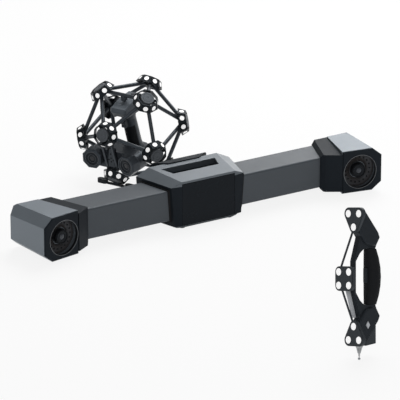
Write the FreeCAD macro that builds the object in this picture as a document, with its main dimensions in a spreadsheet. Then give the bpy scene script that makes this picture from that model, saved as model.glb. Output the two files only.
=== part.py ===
import FreeCAD, Part
import math
import os

import Sketcher

# Tracking laser scanner set: a stereo tracker bar, a handheld scanner in a cage of
# marker rings, and a touch probe with marker plates.
# Row frame: origin at the mouth of the tracker's tripod thread, X along the bar,
# Y away from the side that the tracker looks to, Z up. The floor is Z = 0.

Vector = FreeCAD.Vector
Rotation = FreeCAD.Rotation
Placement = FreeCAD.Placement
X_AXIS = Vector(1, 0, 0)
Y_AXIS = Vector(0, 1, 0)
Z_AXIS = Vector(0, 0, 1)

# Driving dimensions, in millimetres and degrees
SIZES = [
    ("seat_gap", 0.3, "gap round a piece that is put in from outside"),
    ("key_gap", 0.4, "gap round each moving key"),
    ("screw_head_radius", 2.8, "head of the small socket screws"),
    ("screw_head_height", 1.2, "how far a screw head stands out"),
    ("screw_head_sides", 10, "sides of a screw head"),
    ("beam_front_y", -44, "front wall of the beam"),
    ("beam_depth", 92, "beam, front to back"),
    ("beam_low_z", 23.6, "underside of the beam"),
    ("beam_height", 82, "beam, low to high"),
    ("beam_half_length", 386, "half the length of the extrusion"),
    ("beam_wall", 4, "wall of the extrusion"),
    ("beam_corner", 5, "outer corner radius of the extrusion"),
    ("collar_grip", 41, "how far the collar reaches over the beam's end"),
    ("collar_lip", 1.5, "edge of the collar round the beam"),
    ("collar_slant", 36, "inner edge of the collar further out at its back"),
    ("collar_tail", 30, "flat of the collar beside its housing's back"),
    ("collar_run", 9, "length of the collar's slopes along the beam"),
    ("collar_before", 14.3, "collar before the beam at its full section"),
    ("collar_behind", 6, "collar behind the beam"),
    ("collar_under", 8.6, "collar below the beam"),
    ("collar_over", 9.8, "collar above the beam"),
    ("head_out", 4.8, "inner front corner of a camera housing beyond the beam's end"),
    ("head_before", 36.5, "inner front corner of a camera housing before the beam"),
    ("toe_in", 10.3, "angle by which each camera housing looks inwards"),
    ("head_front_width", 111, "camera housing across its front"),
    ("head_side_out", 131, "outer side of the housing beyond the beam's end"),
    ("head_side_before", 21, "end of that side before the housing's back"),
    ("head_back_out", 108, "outer back corner beyond the beam's end"),
    ("head_behind", 14, "back of the housing behind the beam"),
    ("head_join_out", 47.5, "where housing and collar meet at the back, beyond the beam"),
    ("head_under", 15.6, "housing below the beam"),
    ("head_over", 17.4, "housing above the beam at its front"),
    ("head_top_drop", 5.5, "how much lower the top is at the back"),
    ("head_bevel_in", 26, "outer bevels of the housing, across"),
    ("head_bevel_down", 21, "outer bevels of the housing, downwards"),
    ("head_bevel_grow", 5, "how much deeper those bevels are at the back"),
    ("head_back_bevel", 9, "bevel at the top of the back"),
    ("lens_along", 49.3, "lens centre from the inner front corner"),
    ("lens_up", 56, "lens centre above the underside of its housing"),
    ("bezel_thick", 4, "front bezel plate"),
    ("bezel_inset", 1.2, "bezel inside the outline of the housing"),
    ("bezel_bevel", 2.5, "bevel round the front of the bezel"),
    ("lens_opening", 46, "radius of the opening in the bezel"),
    ("lens_ring_wall", 2.6, "light ring inside the opening"),
    ("lens_ring_depth", 7, "depth of the light ring"),
    ("lens_ring_proud", 0.8, "how far the ring stands out from the bezel"),
    ("recess_depth", 20, "depth of the recess from the bezel's front"),
    ("led_board_thick", 1.6, "LED board"),
    ("led_count", 18, "infrared LEDs on each board"),
    ("led_size", 4.2, "side of one LED"),
    ("led_height", 1.4, "height of one LED"),
    ("led_circle", 34, "radius of the circle of LEDs"),
    ("barrel_radius", 18, "lens barrel"),
    ("barrel_wall", 3.2, "wall of the lens barrel"),
    ("barrel_flange", 3, "flange of the barrel beyond its tube"),
    ("barrel_front", 5, "front of the barrel behind the bezel's front"),
    ("barrel_tail", 52, "back of the barrel behind the bezel's front"),
    ("glass_rise", 3.2, "dome of the front lens"),
    ("glass_thick", 4.5, "edge of the front lens"),
    ("sensor_side", 38, "side of the image sensor board"),
    ("sensor_thick", 1.6, "image sensor board"),
    ("sensor_chip", 15, "side of the image sensor"),
    ("rear_cover_thick", 3, "rear cover of a housing"),
    ("rear_cover_width", 52, "rear cover, across"),
    ("rear_cover_height", 72, "rear cover, low to high"),
    ("panel_before", 13.7, "face of the front panel before the beam"),
    ("panel_half_width", 79.2, "half the width of the module's front"),
    ("panel_up", 0.5, "lower edge of the front panel above the bottom plate"),
    ("panel_thick", 3.2, "front panel"),
    ("panel_margin", 1.2, "rim of the housing beside the front panel"),
    ("panel_top_margin", 6.5, "crown's edge above the front panel"),
    ("panel_bevel", 0.8, "bevel round the front panel"),
    ("plate_bevel", 2, "bevel round the bottom plate"),
    ("cheek_half_width", 107.5, "module at the outer edge of its cheeks"),
    ("cheek_behind", 4.9, "outer edge of the cheeks behind the panel's face"),
    ("cheek_taper", 7.8, "how much narrower the cheeks are at the bottom"),
    ("module_half_back", 138, "half the width of the module at its back"),
    ("module_behind", 20, "back of the module behind the beam"),
    ("shoulder_over", 9.4, "edge between the module's sides and its top cover, over the beam"),
    ("crown_front_rise", 12.7, "front edge of the top cover above the shoulders"),
    ("crown_back_rise", 17.3, "back edge of the top cover above the shoulders"),
    ("crown_half_back", 122.7, "half the width of the top cover's flat at its back"),
    ("grip_front_half", 67, "half the grip slot at its front"),
    ("grip_back_half", 79.6, "half the grip slot at its back"),
    ("grip_front_y", 2, "front wall of the grip slot"),
    ("grip_back_y", 41.6, "back wall of the grip slot"),
    ("grip_floor_over", 1.9, "floor of the grip slot over the beam"),
    ("notch_half", 46, "half the notch in the back edge of the top cover"),
    ("notch_depth", 7, "depth of that notch"),
    ("hood_half", 84, "half the width of the rear hood at its back"),
    ("hood_behind", 20, "rear hood behind the module"),
    ("hood_drop", 11, "how far the rear hood hangs below the shoulders"),
    ("hood_over", 2.4, "rear hood above the back edge of the top cover"),
    ("hood_round", 9, "rounded back of the rear hood"),
    ("gasket_proud", 2.2, "how far a gasket stands out from the beam"),
    ("gasket_width", 4.5, "gasket along the beam"),
    ("plate_thick", 7, "bottom plate"),
    ("plate_inset", 9, "bottom plate inside the module's outline"),
    ("foot_height", 3, "rubber feet"),
    ("foot_radius", 8, "rubber feet"),
    ("foot_x", 70, "feet from the middle, along the bar"),
    ("foot_front_in", 15.7, "front feet behind the panel's face"),
    ("foot_back_in", 18, "back feet before the module's back"),
    ("thread_radius", 3.97, "tapped hole for a 3/8 inch tripod screw"),
    ("thread_depth", 14, "depth of the tapped hole"),
    ("insert_radius", 11, "body of the thread insert"),
    ("insert_flange", 24, "radius of the insert's flange"),
    ("port_panel_width", 92, "connector panel, across"),
    ("port_panel_height", 46, "connector panel, low to high"),
    ("port_panel_thick", 3, "connector panel"),
    ("port_panel_up", 32, "lower edge of the connector panel above the bottom plate"),
    ("socket_radius", 8.5, "round sockets at the back"),
    ("socket_bore", 5.5, "opening of a socket"),
    ("socket_proud", 4, "how far a socket stands out"),
    ("socket_mouth", 3.4, "depth of a socket's opening"),
    ("socket_pin", 1, "end of a socket's pin behind its rim"),
    ("power_key_radius", 6.5, "power button"),
    ("power_key_proud", 2.5, "power button above its panel"),
    ("power_key_rim", 0.7, "share of that height where the button's bevel starts"),
    ("power_key_crown", 0.85, "share of the button's radius inside its bevel"),
    ("power_key_travel", 1.2, "travel of the power button"),
    ("board_width", 120, "controller board, across"),
    ("board_height", 60, "controller board, low to high"),
    ("board_thick", 1.6, "controller board"),
    ("board_chip", 22, "side of the largest chip"),
    ("board_post", 4, "posts that carry the controller board"),
    ("scanner_x", 12.7, "centre of the scanner's cage"),
    ("scanner_y", 333.4, "centre of the scanner's cage"),
    ("scanner_turn", -64.9, "turn of the scanner about the vertical"),
    ("scanner_pitch", 20.9, "how far the cage leans forward, resting on three rings"),
    ("cage_radius", 134.5, "marker rings from the centre of the cage"),
    ("rod_radius", 5.4, "rods of the cage"),
    ("rod_sides", 8, "sides of a rod"),
    ("rod_seat", 14, "end of a rod from the middle of its ring"),
    ("ring_middle", 29.5, "facets of a marker ring from its axis"),
    ("ring_band", 21, "width of a facet along its slope"),
    ("ring_tilt", 22, "slope of the facets"),
    ("ring_sides", 8, "facets of a marker ring"),
    ("ring_wall", 3, "wall of a marker ring"),
    ("hub_low", 14, "hub below the middle of its ring"),
    ("hub_waist", 1, "where the hub's facets end below the middle"),
    ("hub_collar", 15, "radius of the collar under a cap"),
    ("hub_high", 4, "top of the hub's collar"),
    ("spoke_width", 6.5, "spokes of a marker ring"),
    ("spoke_height", 4.5, "spokes of a marker ring"),
    ("cap_radius", 18, "hub caps"),
    ("cap_thick", 6, "hub caps"),
    ("cap_rim", 1.2, "bevel round a cap"),
    ("cap_sides", 16, "short sides of a cap's outline"),
    ("dot_radius", 6.6, "reflective markers of the cage"),
    ("dot_thick", 0.6, "reflective markers"),
    ("dot_sides", 10, "short sides of a marker's outline"),
    ("fork_spread", 15, "bars of the front fork from the middle plane"),
    ("fork_bar", 6, "bars of the front fork"),
    ("fork_neck", 30, "bridge of the fork from the middle of its ring"),
    ("body_tilt", 15, "scanner body against its cage, nose up"),
    ("body_low_z", -72, "underside of the scanner body"),
    ("body_height", 50, "scanner body, low to high"),
    ("body_front", 96, "front of the body, before the cage's centre"),
    ("body_depth", 56, "front block of the body, front to back"),
    ("body_half", 79, "half the width of the front block"),
    ("body_round", 23, "rounded long sides of the front block"),
    ("body_lap", 1, "keel inside the front block"),
    ("keel_half", 23, "half the width of the keel under the handle"),
    ("keel_back", 38, "back of the keel, behind the cage's centre"),
    ("keel_top", -50, "top of the keel"),
    ("pod_x", 52.5, "scan cameras from the middle plane"),
    ("pod_front", 119, "faces of the scan cameras"),
    ("pod_z", -44.5, "axis of the scan cameras"),
    ("pod_toe_in", 8, "scan cameras look inwards"),
    ("pod_apothem", 26.5, "flats of a camera housing from its axis"),
    ("pod_bore", 21, "opening of a camera housing"),
    ("pod_bore_depth", 8, "depth of that opening"),
    ("pod_lens_rim", 0.86, "rim of a scan lens, share of its mount's radius"),
    ("pod_lens_cone", 0.66, "deepest ring of a scan lens, share of its mount's radius"),
    ("pod_lens_seat", 0.5, "ring round the glass, share of its mount's radius"),
    ("pod_lens_glass", 0.32, "glass of a scan lens, share of its mount's radius"),
    ("projector_half", 11, "half the width of the laser projector"),
    ("projector_deep", 10, "projector, front to back"),
    ("projector_low", -62, "lower end of the projector"),
    ("projector_high", -11, "upper end of the projector"),
    ("laser_hole", 1.9, "openings of the projector"),
    ("laser_pitch", 6.6, "openings of the projector from its middle, across"),
    ("laser_drop", 0.55, "middle opening below the projector's middle"),
    ("handle_low_y", 8, "handle's lower end, behind the cage's centre"),
    ("handle_high_y", -18, "handle's upper end"),
    ("handle_high_z", 58, "top of the handle"),
    ("handle_half_width", 17, "handle across its middle"),
    ("handle_half_depth", 21, "handle, front to back, at its middle"),
    ("handle_flare", 1.18, "how much wider the handle's ends are"),
    ("handle_foot_end", 0.15, "share of the handle's length where its flared foot ends"),
    ("handle_swell", 1.02, "how much wider the handle is above its foot"),
    ("grip_low", 10, "lower end of the grip insert along the handle"),
    ("grip_high", 76, "upper end of the grip insert"),
    ("grip_plane", 4, "back of the grip insert, before the handle's axis"),
    ("trigger_low", 80, "lower end of the trigger along the handle"),
    ("trigger_height", 21, "trigger along the handle"),
    ("trigger_half", 7, "half the width of the trigger"),
    ("trigger_front", 31, "front of the trigger before the handle's axis"),
    ("trigger_deep", 19, "trigger, front to back"),
    ("trigger_nose", 6, "upper front edge of the trigger behind its tip"),
    ("trigger_tip", 5, "tip of the trigger below its top"),
    ("trigger_hollow", 3, "hollow of the trigger behind its tip"),
    ("trigger_heel", 8, "hollow of the trigger above its foot"),
    ("trigger_toe", 1, "foot of the trigger behind its tip"),
    ("trigger_travel", 3, "travel of the trigger"),
    ("head_half", 24, "half the width of the scanner's head"),
    ("head_nose", 63, "nose of the head, before the cage's centre"),
    ("head_tail", 34, "tail of the head, behind the cage's centre"),
    ("head_top", 96, "top of the head"),
    ("head_lip", 12, "front lip of the head, low to high"),
    ("head_slope", 15, "where the head's top starts to fall"),
    ("head_chin", 10, "underside of the head behind its nose"),
    ("head_brow", 2, "top edge of the front lip behind the nose"),
    ("head_crown", 10, "where the head's top ends, before its tail"),
    ("head_nape", 6, "lower end of the head's back, before its tail"),
    ("head_nape_up", 10, "lower end of the head's back above its underside"),
    ("head_heel", 24, "end of the head's underside before its tail"),
    ("menu_radius", 7, "menu button"),
    ("menu_y", 14, "menu button behind the cage's centre"),
    ("menu_proud", 1.6, "menu button above the head"),
    ("menu_deep", 3, "menu button below the head's top"),
    ("menu_travel", 1, "travel of the menu button"),
    ("skid_half", 58, "half the length of the front support foot"),
    ("skid_forward", 77, "front support foot before the cage's centre"),
    ("skid_depth", 16, "front support foot, front to back"),
    ("skid_thick", 4.6, "thickness of its bar"),
    ("skid_neck", 1, "neck of the foot narrower than its bar, on either side"),
    ("pad_length", 30, "rounded ends of the support foot"),
    ("pad_height", 11, "rounded ends of the support foot"),
    ("tail_socket_radius", 8, "cable socket of the scanner"),
    ("tail_socket_bore", 5.6, "opening of the cable socket"),
    ("tail_socket_proud", 7, "how far the cable socket stands out"),
    ("probe_x", -167, "tip of the probe"),
    ("probe_y", -981, "tip of the probe"),
    ("probe_turn", -31.9, "turn of the probe about the vertical"),
    ("probe_lean", 20.9, "how far the probe leans back"),
    ("probe_spin", -49.5, "turn of the probe about its own length"),
    ("probe_middle", 192.7, "middle of the probe above its tip"),
    ("arm_half_width", 14, "arms of the probe, across"),
    ("web_half_width", 8, "web and grip core, across"),
    ("arm_end", 158, "ends of the arms from the middle"),
    ("arm_back", 50, "back of an arm where it starts to narrow"),
    ("arm_shoulder", 103, "height of that place from the middle"),
    ("arm_elbow", 55, "furthest point of an arm backwards"),
    ("arm_elbow_up", 91, "height of that point from the middle"),
    ("arm_lap", 2, "arm below its shoulder at the marker plate"),
    ("arm_neck", 8, "back of an arm's foot above the waist"),
    ("arm_throat", 5, "front of an arm's foot above the waist"),
    ("arm_throat_in", 4, "front of an arm's foot before the grip's core"),
    ("arm_tip", 12, "foot of an arm above the waist at the opening's tip"),
    ("waist_back", 44, "back of the waist above the grip"),
    ("waist_up", 65, "height of the waist from the middle"),
    ("core_front", 31, "front of the grip's core"),
    ("core_back", 45, "back of the grip's core"),
    ("opening_front", -17, "front of the hand opening"),
    ("opening_straight", 36, "straight part of the opening, half"),
    ("opening_tip", 9, "where the opening's curve ends"),
    ("opening_swell", 4, "how far the opening's curve swells beyond a straight line"),
    ("bridge_lap", 1, "block of the middle plate inside the web"),
    ("bridge_round", 0.8, "share of the middle plate's corner that the block covers"),
    ("web_foot", -21.5, "front edge of the web beside the middle plate"),
    ("web_head", -1.5, "front edge of the web beside the outer plates"),
    ("plate_back", -8.7, "back of the outer marker plates"),
    ("marker_plate_thick", 9, "marker plates"),
    ("marker_plate_round", 14.5, "corner radius of the outer plates"),
    ("triangle_half", 17.6, "outer markers of a triangular plate from its middle"),
    ("triangle_far", 146.3, "outer markers from the middle of the probe"),
    ("triangle_near", 115, "inner marker from the middle of the probe"),
    ("square_half", 17, "markers of the middle plate from its middle, across"),
    ("square_half_up", 15.6, "markers of the middle plate from its middle, up"),
    ("square_round", 13, "corner radius of the middle plate"),
    ("square_front", -48.6, "front of the middle plate"),
    ("square_shift", -3.8, "middle plate below the middle of the probe"),
    ("probe_dot_radius", 9.3, "reflective markers of the probe"),
    ("strut_radius", 2.5, "struts beside the web"),
    ("strut_out_x", -17, "strut at the middle plate"),
    ("strut_in_x", -4, "strut at an outer plate"),
    ("strut_start", 16, "strut behind the middle plate, from the probe's middle"),
    ("strip_thick", 2, "light strip"),
    ("strip_behind", 3, "light strip behind the middle of the strut"),
    ("strip_short", 8, "end of the strip short of the arm's shoulder"),
    ("probe_grip_y", 34, "middle of the probe's grip at its ends"),
    ("probe_grip_bow", 7.4, "how far the grip bows backwards"),
    ("probe_grip_radius", 20.4, "grip at its thickest"),
    ("probe_grip_end", 14.8, "grip at its ends"),
    ("probe_grip_steps", 6, "tapered lengths of the grip"),
    ("finger_key_half", 6, "half the width of the finger button"),
    ("finger_key_low", -14, "lower end of the finger button"),
    ("finger_key_height", 34, "finger button, low to high"),
    ("finger_key_front", 17.5, "front of the finger button"),
    ("finger_key_deep", 6, "finger button, front to back"),
    ("finger_key_travel", 2, "travel of the finger button"),
    ("side_key_y", 15, "side key"),
    ("side_key_up", -112, "side key"),
    ("side_key_half_y", 6, "half the side key across"),
    ("side_key_half_up", 9, "half the side key upwards"),
    ("side_key_room_y", 0.576, "room round the side key at its side corners"),
    ("side_key_room_up", 0.864, "room round the side key at its end corners"),
    ("side_key_proud", 1.4, "side key above the arm"),
    ("side_key_deep", 3, "side key inside the arm"),
    ("side_key_travel", 1, "travel of the side key"),
    ("battery_half_width", 12, "battery pack, across"),
    ("battery_back", 42, "back of the battery pack"),
    ("battery_end", 160, "lower end of the battery pack from the middle"),
    ("battery_cut", 5, "back of the battery pack above its lower end"),
    ("battery_lean", 2, "lower front edge of the battery pack behind its upper one"),
    ("holder_radius", 8.6, "stylus holder at its top"),
    ("holder_tip_radius", 3.6, "stylus holder at its lower end"),
    ("holder_tip_z", 15, "lower end of the stylus holder"),
    ("holder_edge", 1, "straight edge at the holder's lower end"),
    ("holder_ring", 4, "straight ring at the top of the holder"),
    ("stylus_radius", 2.2, "stylus"),
    ("stylus_neck", 1.32, "thin neck of the stylus behind the ball"),
    ("stylus_foot", 5.12, "lower end of that neck above the tip"),
    ("stylus_depth", 9, "stylus inside its holder"),
    ("tip_radius", 3.2, "ball at the tip"),
    ("arm_screw_y", 6, "screw at the end of an arm"),
    ("arm_screw_up", 138, "screw at the end of an arm, from the middle"),
    ("elbow_screw_y", 30, "screw at the elbow"),
    ("elbow_screw_up", 104, "screw at the elbow, from the middle"),
    ("waist_screw_y", 20, "screw above the waist"),
    ("waist_screw_up", 86, "screw above the waist, from the middle"),
]

doc = FreeCAD.newDocument("ScannerSet")
sheet = doc.addObject("Spreadsheet::Sheet", "Sizes")
for row, (alias, value, meaning) in enumerate(SIZES, start=1):
    sheet.set(f"A{row}", meaning)
    sheet.set(f"B{row}", str(value))
    sheet.setAlias(f"B{row}", alias)
doc.recompute()


class Size:
    """A number that remembers the sheet expression it came from."""

    def __init__(self, value, text):
        self.value = float(value)
        self.text = text

    def __float__(self):
        return self.value

    def combine(self, other, sign, result):
        right = other.text if isinstance(other, Size) else repr(other)
        return Size(result, f"({self.text} {sign} {right})")

    def __add__(self, other):
        return self.combine(other, "+", self.value + float(other))

    def __sub__(self, other):
        return self.combine(other, "-", self.value - float(other))

    def __mul__(self, other):
        return self.combine(other, "*", self.value * float(other))

    def __truediv__(self, other):
        return self.combine(other, "/", self.value / float(other))

    def __radd__(self, other):
        return Size(float(other) + self.value, f"({other!r} + {self.text})")

    def __rsub__(self, other):
        return Size(float(other) - self.value, f"({other!r} - {self.text})")

    __rmul__ = __mul__

    def __neg__(self):
        return self * -1


def size(alias):
    """The sheet's value for an alias, as a Size."""
    return Size(sheet.get(alias), f"Sizes.{alias}")


def bind(thing, prop, value):
    """Set a property and tie it to the sheet."""
    setattr(thing, prop, float(value))
    if isinstance(value, Size):
        thing.setExpression(prop, value.text)


PARTS = []


def as_node(thing, label, placement=None):
    """Name a sub-part and put it in its place."""
    thing.Label = label
    if placement is not None:
        thing.Placement = placement
    PARTS.append(thing)
    return thing


def solid_node(label, shape, placement=None):
    """A sub-part whose shape is worked out here."""
    thing = doc.addObject("Part::Feature", label.title().replace("_", ""))
    thing.Shape = shape
    return as_node(thing, label, placement)


def new_body(label, placement=None):
    body = doc.addObject("PartDesign::Body", label.title().replace("_", ""))
    return as_node(body, label, placement)


def new_sketch(body, role, name, offset=None):
    """A sketch on one of the body's own origin planes."""
    plane = next(item for item in body.Origin.OriginFeatures if item.Role == role)
    sketch = body.newObject("Sketcher::SketchObject", name)
    sketch.AttachmentSupport = [(plane, "")]
    sketch.MapMode = "FlatFace"
    if offset is not None:
        sketch.AttachmentOffset = Placement(Vector(0, 0, float(offset)), Rotation())
        if isinstance(offset, Size):
            sketch.setExpression("AttachmentOffset.Base.z", offset.text)
    return sketch


def pin_down(sketch, kind, *where_and_value):
    """One dimension of a sketch, tied to the sheet where it comes from there."""
    value = where_and_value[-1]
    index = sketch.addConstraint(
        Sketcher.Constraint(kind, *where_and_value[:-1], float(value)))
    if isinstance(value, Size):
        sketch.setExpression(f"Constraints[{index}]", value.text)


def draw_polygon(sketch, points):
    """A closed outline whose corners are dimensioned from the sketch's origin."""
    first = sketch.GeometryCount
    count = len(points)
    for index, (across, up) in enumerate(points):
        next_across, next_up = points[(index + 1) % count]
        start = Vector(float(across), float(up), 0)
        end = Vector(float(next_across), float(next_up), 0)
        sketch.addGeometry(Part.LineSegment(start, end), False)
    for index in range(count):
        here = first + index
        after = first + (index + 1) % count
        sketch.addConstraint(Sketcher.Constraint("Coincident", here, 2, after, 1))
    for index, (across, up) in enumerate(points):
        pin_down(sketch, "DistanceX", -1, 1, first + index, 1, across)
        pin_down(sketch, "DistanceY", -1, 1, first + index, 1, up)


def draw_circle(sketch, across, up, radius):
    centre = Vector(float(across), float(up), 0)
    index = sketch.addGeometry(Part.Circle(centre, Z_AXIS, float(radius)), False)
    pin_down(sketch, "Radius", index, radius)
    pin_down(sketch, "DistanceX", -1, 1, index, 3, across)
    pin_down(sketch, "DistanceY", -1, 1, index, 3, up)


def rectangle(low_across, high_across, low_up, high_up):
    return [(low_across, low_up), (high_across, low_up),
            (high_across, high_up), (low_across, high_up)]


def pad(body, sketch, length, name, both_ways=False, reverse=False):
    feature = body.newObject("PartDesign::Pad", name)
    feature.Profile = sketch
    bind(feature, "Length", length)
    feature.SideType = "Symmetric" if both_ways else "One side"
    feature.Reversed = reverse
    body.Tip = feature
    return feature


def pocket(body, sketch, length, name, both_ways=False, reverse=False):
    doc.recompute()
    before = body.Shape.Volume
    feature = body.newObject("PartDesign::Pocket", name)
    feature.Profile = sketch
    bind(feature, "Length", length)
    feature.SideType = "Symmetric" if both_ways else "One side"
    feature.Reversed = reverse
    body.Tip = feature
    doc.recompute()
    if body.Shape.Volume > before - 1e-6:
        raise RuntimeError(f"{name} of {body.Label} cuts nothing")
    return feature


def revolve(body, sketch, axis, name):
    feature = body.newObject("PartDesign::Revolution", name)
    feature.Profile = sketch
    feature.ReferenceAxis = (sketch, [axis])
    feature.Angle = 360
    body.Tip = feature
    return feature


def edges_where(shape, test):
    """Names of the edges that pass the test."""
    return [f"Edge{index}" for index, edge in enumerate(shape.Edges, start=1) if test(edge)]


def runs_along(edge, axis):
    """Whether an edge is straight and parallel to an axis."""
    if edge.Curve.TypeId != "Part::GeomLine":
        return False
    return abs(abs(edge.tangentAt(edge.FirstParameter).dot(axis)) - 1) < 1e-6


def dress(body, kind, test, amount, name):
    """Chamfer or round the edges that pass the test."""
    doc.recompute()
    base = body.Tip
    names = edges_where(base.Shape, test)
    if not names:
        raise RuntimeError(f"{name} of {body.Label} finds no edge")
    feature = body.newObject(f"PartDesign::{kind}", name)
    feature.Base = (base, names)
    bind(feature, "Size" if kind == "Chamfer" else "Radius", amount)
    body.Tip = feature
    return feature


def near(value, target):
    return abs(value - float(target)) < 0.02


def plan_prism(points, low, high):
    """A straight prism on a plan outline."""
    corners = [Vector(float(across), float(along), float(low)) for across, along in points]
    face = Part.Face(Part.makePolygon(corners + corners[:1]))
    return face.extrude(Vector(0, 0, float(high) - float(low)))


def box(low, high):
    """A block between two opposite corners."""
    low = Vector(*[float(value) for value in low])
    span = Vector(*[float(value) for value in high]) - low
    return Part.makeBox(span.x, span.y, span.z, low)


def cylinder(radius, start, end):
    """A round bar from start to end."""
    path = end - start
    return Part.makeCylinder(float(radius), path.Length, start, path)


def trimmed(shape, first, second, third, keep):
    """What is left of a shape on the side of a plane where the point keep lies."""
    normal = (second - first).cross(third - first)
    normal.normalize()
    if (keep - first).dot(normal) < 0:
        normal = normal * -1
    reach = 4 * shape.BoundBox.DiagonalLength
    block = Part.makeBox(reach, reach, reach, Vector(-reach / 2, -reach / 2, 0))
    block.Placement = Placement(first, Rotation(Z_AXIS, normal))
    return shape.common(block)


def mirrored(shape):
    """The same shape on the other side of the YZ plane."""
    return shape.mirror(Vector(0, 0, 0), X_AXIS)


def only_solid(shape):
    """The single solid of a boolean result."""
    if len(shape.Solids) != 1:
        raise RuntimeError(f"one solid expected, {len(shape.Solids)} found")
    return shape.removeSplitter().Solids[0]


def regular_outline(count, apothem, level, turn=0.0):
    """A closed regular outline about the Z axis, flat side towards X before its turn."""
    radius = apothem / math.cos(math.pi / count)
    points = []
    for index in range(count):
        angle = math.radians(turn) + (2 * index + 1) * math.pi / count
        points.append(Vector(radius * math.cos(angle), radius * math.sin(angle), level))
    return Part.makePolygon(points + points[:1])


def tapered_prism(count, low, low_apothem, high, high_apothem):
    """A regular prism whose flats lean in or out."""
    outlines = [regular_outline(count, low_apothem, low),
                regular_outline(count, high_apothem, high)]
    return Part.makeLoft(outlines, True, True)


def prism_between(count, radius, start, end):
    """A regular bar from start to end."""
    length = (end - start).Length
    bar = tapered_prism(count, 0, float(radius), length, float(radius))
    bar.Placement = Placement(start, Rotation(Z_AXIS, end - start))
    return bar


SEAT_GAP = size("seat_gap")
KEY_GAP = size("key_gap")


def put(shape, placement):
    """A copy of a shape, moved by a placement."""
    copy = shape.copy()
    copy.Placement = placement * copy.Placement
    return copy


# Beam
BEAM_FRONT = size("beam_front_y")
BEAM_BACK = BEAM_FRONT + size("beam_depth")
BEAM_LOW = size("beam_low_z")
BEAM_TOP = BEAM_LOW + size("beam_height")
BEAM_HALF = size("beam_half_length")


def make_beam():
    body = new_body("beam_tube")
    outside = new_sketch(body, "YZ_Plane", "BeamOutline")
    draw_polygon(outside, rectangle(BEAM_FRONT, BEAM_BACK, BEAM_LOW, BEAM_TOP))
    pad(body, outside, BEAM_HALF * 2, "BeamPad", both_ways=True)
    dress(body, "Fillet", lambda edge: runs_along(edge, X_AXIS), size("beam_corner"),
          "BeamCorners")
    inside = new_sketch(body, "YZ_Plane", "BeamHollow")
    wall = size("beam_wall")
    draw_polygon(inside, rectangle(BEAM_FRONT + wall, BEAM_BACK - wall,
                                   BEAM_LOW + wall, BEAM_TOP - wall))
    pocket(body, inside, BEAM_HALF * 2 + 2, "BeamBore", both_ways=True)


def beam_block(half_length, proud=0.0):
    """The beam's outline as a solid bar, larger by proud all round."""
    grow = float(proud)
    return box((-float(half_length), float(BEAM_FRONT) - grow, float(BEAM_LOW) - grow),
               (float(half_length), float(BEAM_BACK) + grow, float(BEAM_TOP) + grow))


# Camera heads, drawn for the right end and mirrored for the left one
TOE_IN = math.radians(float(size("toe_in")))
HEAD_LOW = float(BEAM_LOW - size("head_under"))
HEAD_TOP = float(BEAM_TOP + size("head_over"))
HEAD_HEIGHT = size("beam_height") + size("head_under") + size("head_over")
HEAD_INNER = Vector(float(BEAM_HALF + size("head_out")), float(BEAM_FRONT - size("head_before")), 0)
HEAD_JOIN_X = float(BEAM_HALF + size("head_join_out"))
HEAD_BACK_X = float(BEAM_HALF + size("head_back_out"))
FRONT_DIRECTION = Vector(math.cos(TOE_IN), -math.sin(TOE_IN), 0)
INTO_HEAD = Vector(math.sin(TOE_IN), math.cos(TOE_IN), 0)
HEAD_OUTER = HEAD_INNER + FRONT_DIRECTION * float(size("head_front_width"))
HEAD_BACK_Y = float(BEAM_BACK + size("head_behind"))
LENS_Z = HEAD_LOW + float(size("lens_up"))
LENS_CENTRE = (HEAD_INNER + FRONT_DIRECTION * float(size("lens_along"))
               + Vector(0, 0, LENS_Z))
SIDES = (("left", -1), ("right", 1))


def lens_place(side):
    """Frame of a head's lens: X along its front, Y into the head, Z up."""
    centre = Vector(side * LENS_CENTRE.x, LENS_CENTRE.y, LENS_CENTRE.z)
    return Placement(centre, Rotation(Z_AXIS, -side * float(size("toe_in"))))


def for_side(shape, side):
    return shape if side > 0 else mirrored(shape)


def back_bevelled(block, inside):
    """Bevels the top of the back of a housing or a collar."""
    fall = float(size("head_back_bevel"))
    level = HEAD_TOP - float(size("head_top_drop"))
    low = Vector(HEAD_INNER.x, HEAD_BACK_Y, level - fall)
    high = Vector(HEAD_INNER.x, HEAD_BACK_Y - fall, level)
    return trimmed(block, low, low + X_AXIS, high, inside)


def head_block():
    """Outside of the right camera housing with its slopes and bevels."""
    side_corner = Vector(float(BEAM_HALF + size("head_side_out")),
                         HEAD_BACK_Y - float(size("head_side_before")), 0)
    back_corner = (HEAD_BACK_X, HEAD_BACK_Y)
    outline = [(HEAD_INNER.x, HEAD_INNER.y), (HEAD_OUTER.x, HEAD_OUTER.y),
               (side_corner.x, side_corner.y), back_corner,
               (HEAD_JOIN_X, HEAD_BACK_Y)]
    block = plan_prism(outline, HEAD_LOW, HEAD_TOP + 1)
    drop = float(size("head_top_drop"))
    top_front = Vector(HEAD_INNER.x, HEAD_INNER.y, HEAD_TOP)
    top_side = Vector(HEAD_OUTER.x, HEAD_INNER.y, HEAD_TOP)
    top_back = Vector(HEAD_INNER.x, HEAD_BACK_Y, HEAD_TOP - drop)
    middle = Vector(HEAD_INNER.x + 1, 0, (HEAD_LOW + HEAD_TOP) / 2)
    block = trimmed(block, top_front, top_side, top_back, middle)
    across = float(size("head_bevel_in"))
    down = float(size("head_bevel_down"))
    grow = float(size("head_bevel_grow"))
    for level, way in ((HEAD_TOP, -1), (HEAD_LOW, 1)):
        rim = level + way * down
        front = Vector(HEAD_OUTER.x, HEAD_OUTER.y, rim)
        back = Vector(side_corner.x, side_corner.y, rim + way * grow)
        inward = Vector(HEAD_OUTER.x - across, HEAD_OUTER.y, level)
        block = trimmed(block, front, back, inward, middle)
    return back_bevelled(block, middle)


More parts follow.
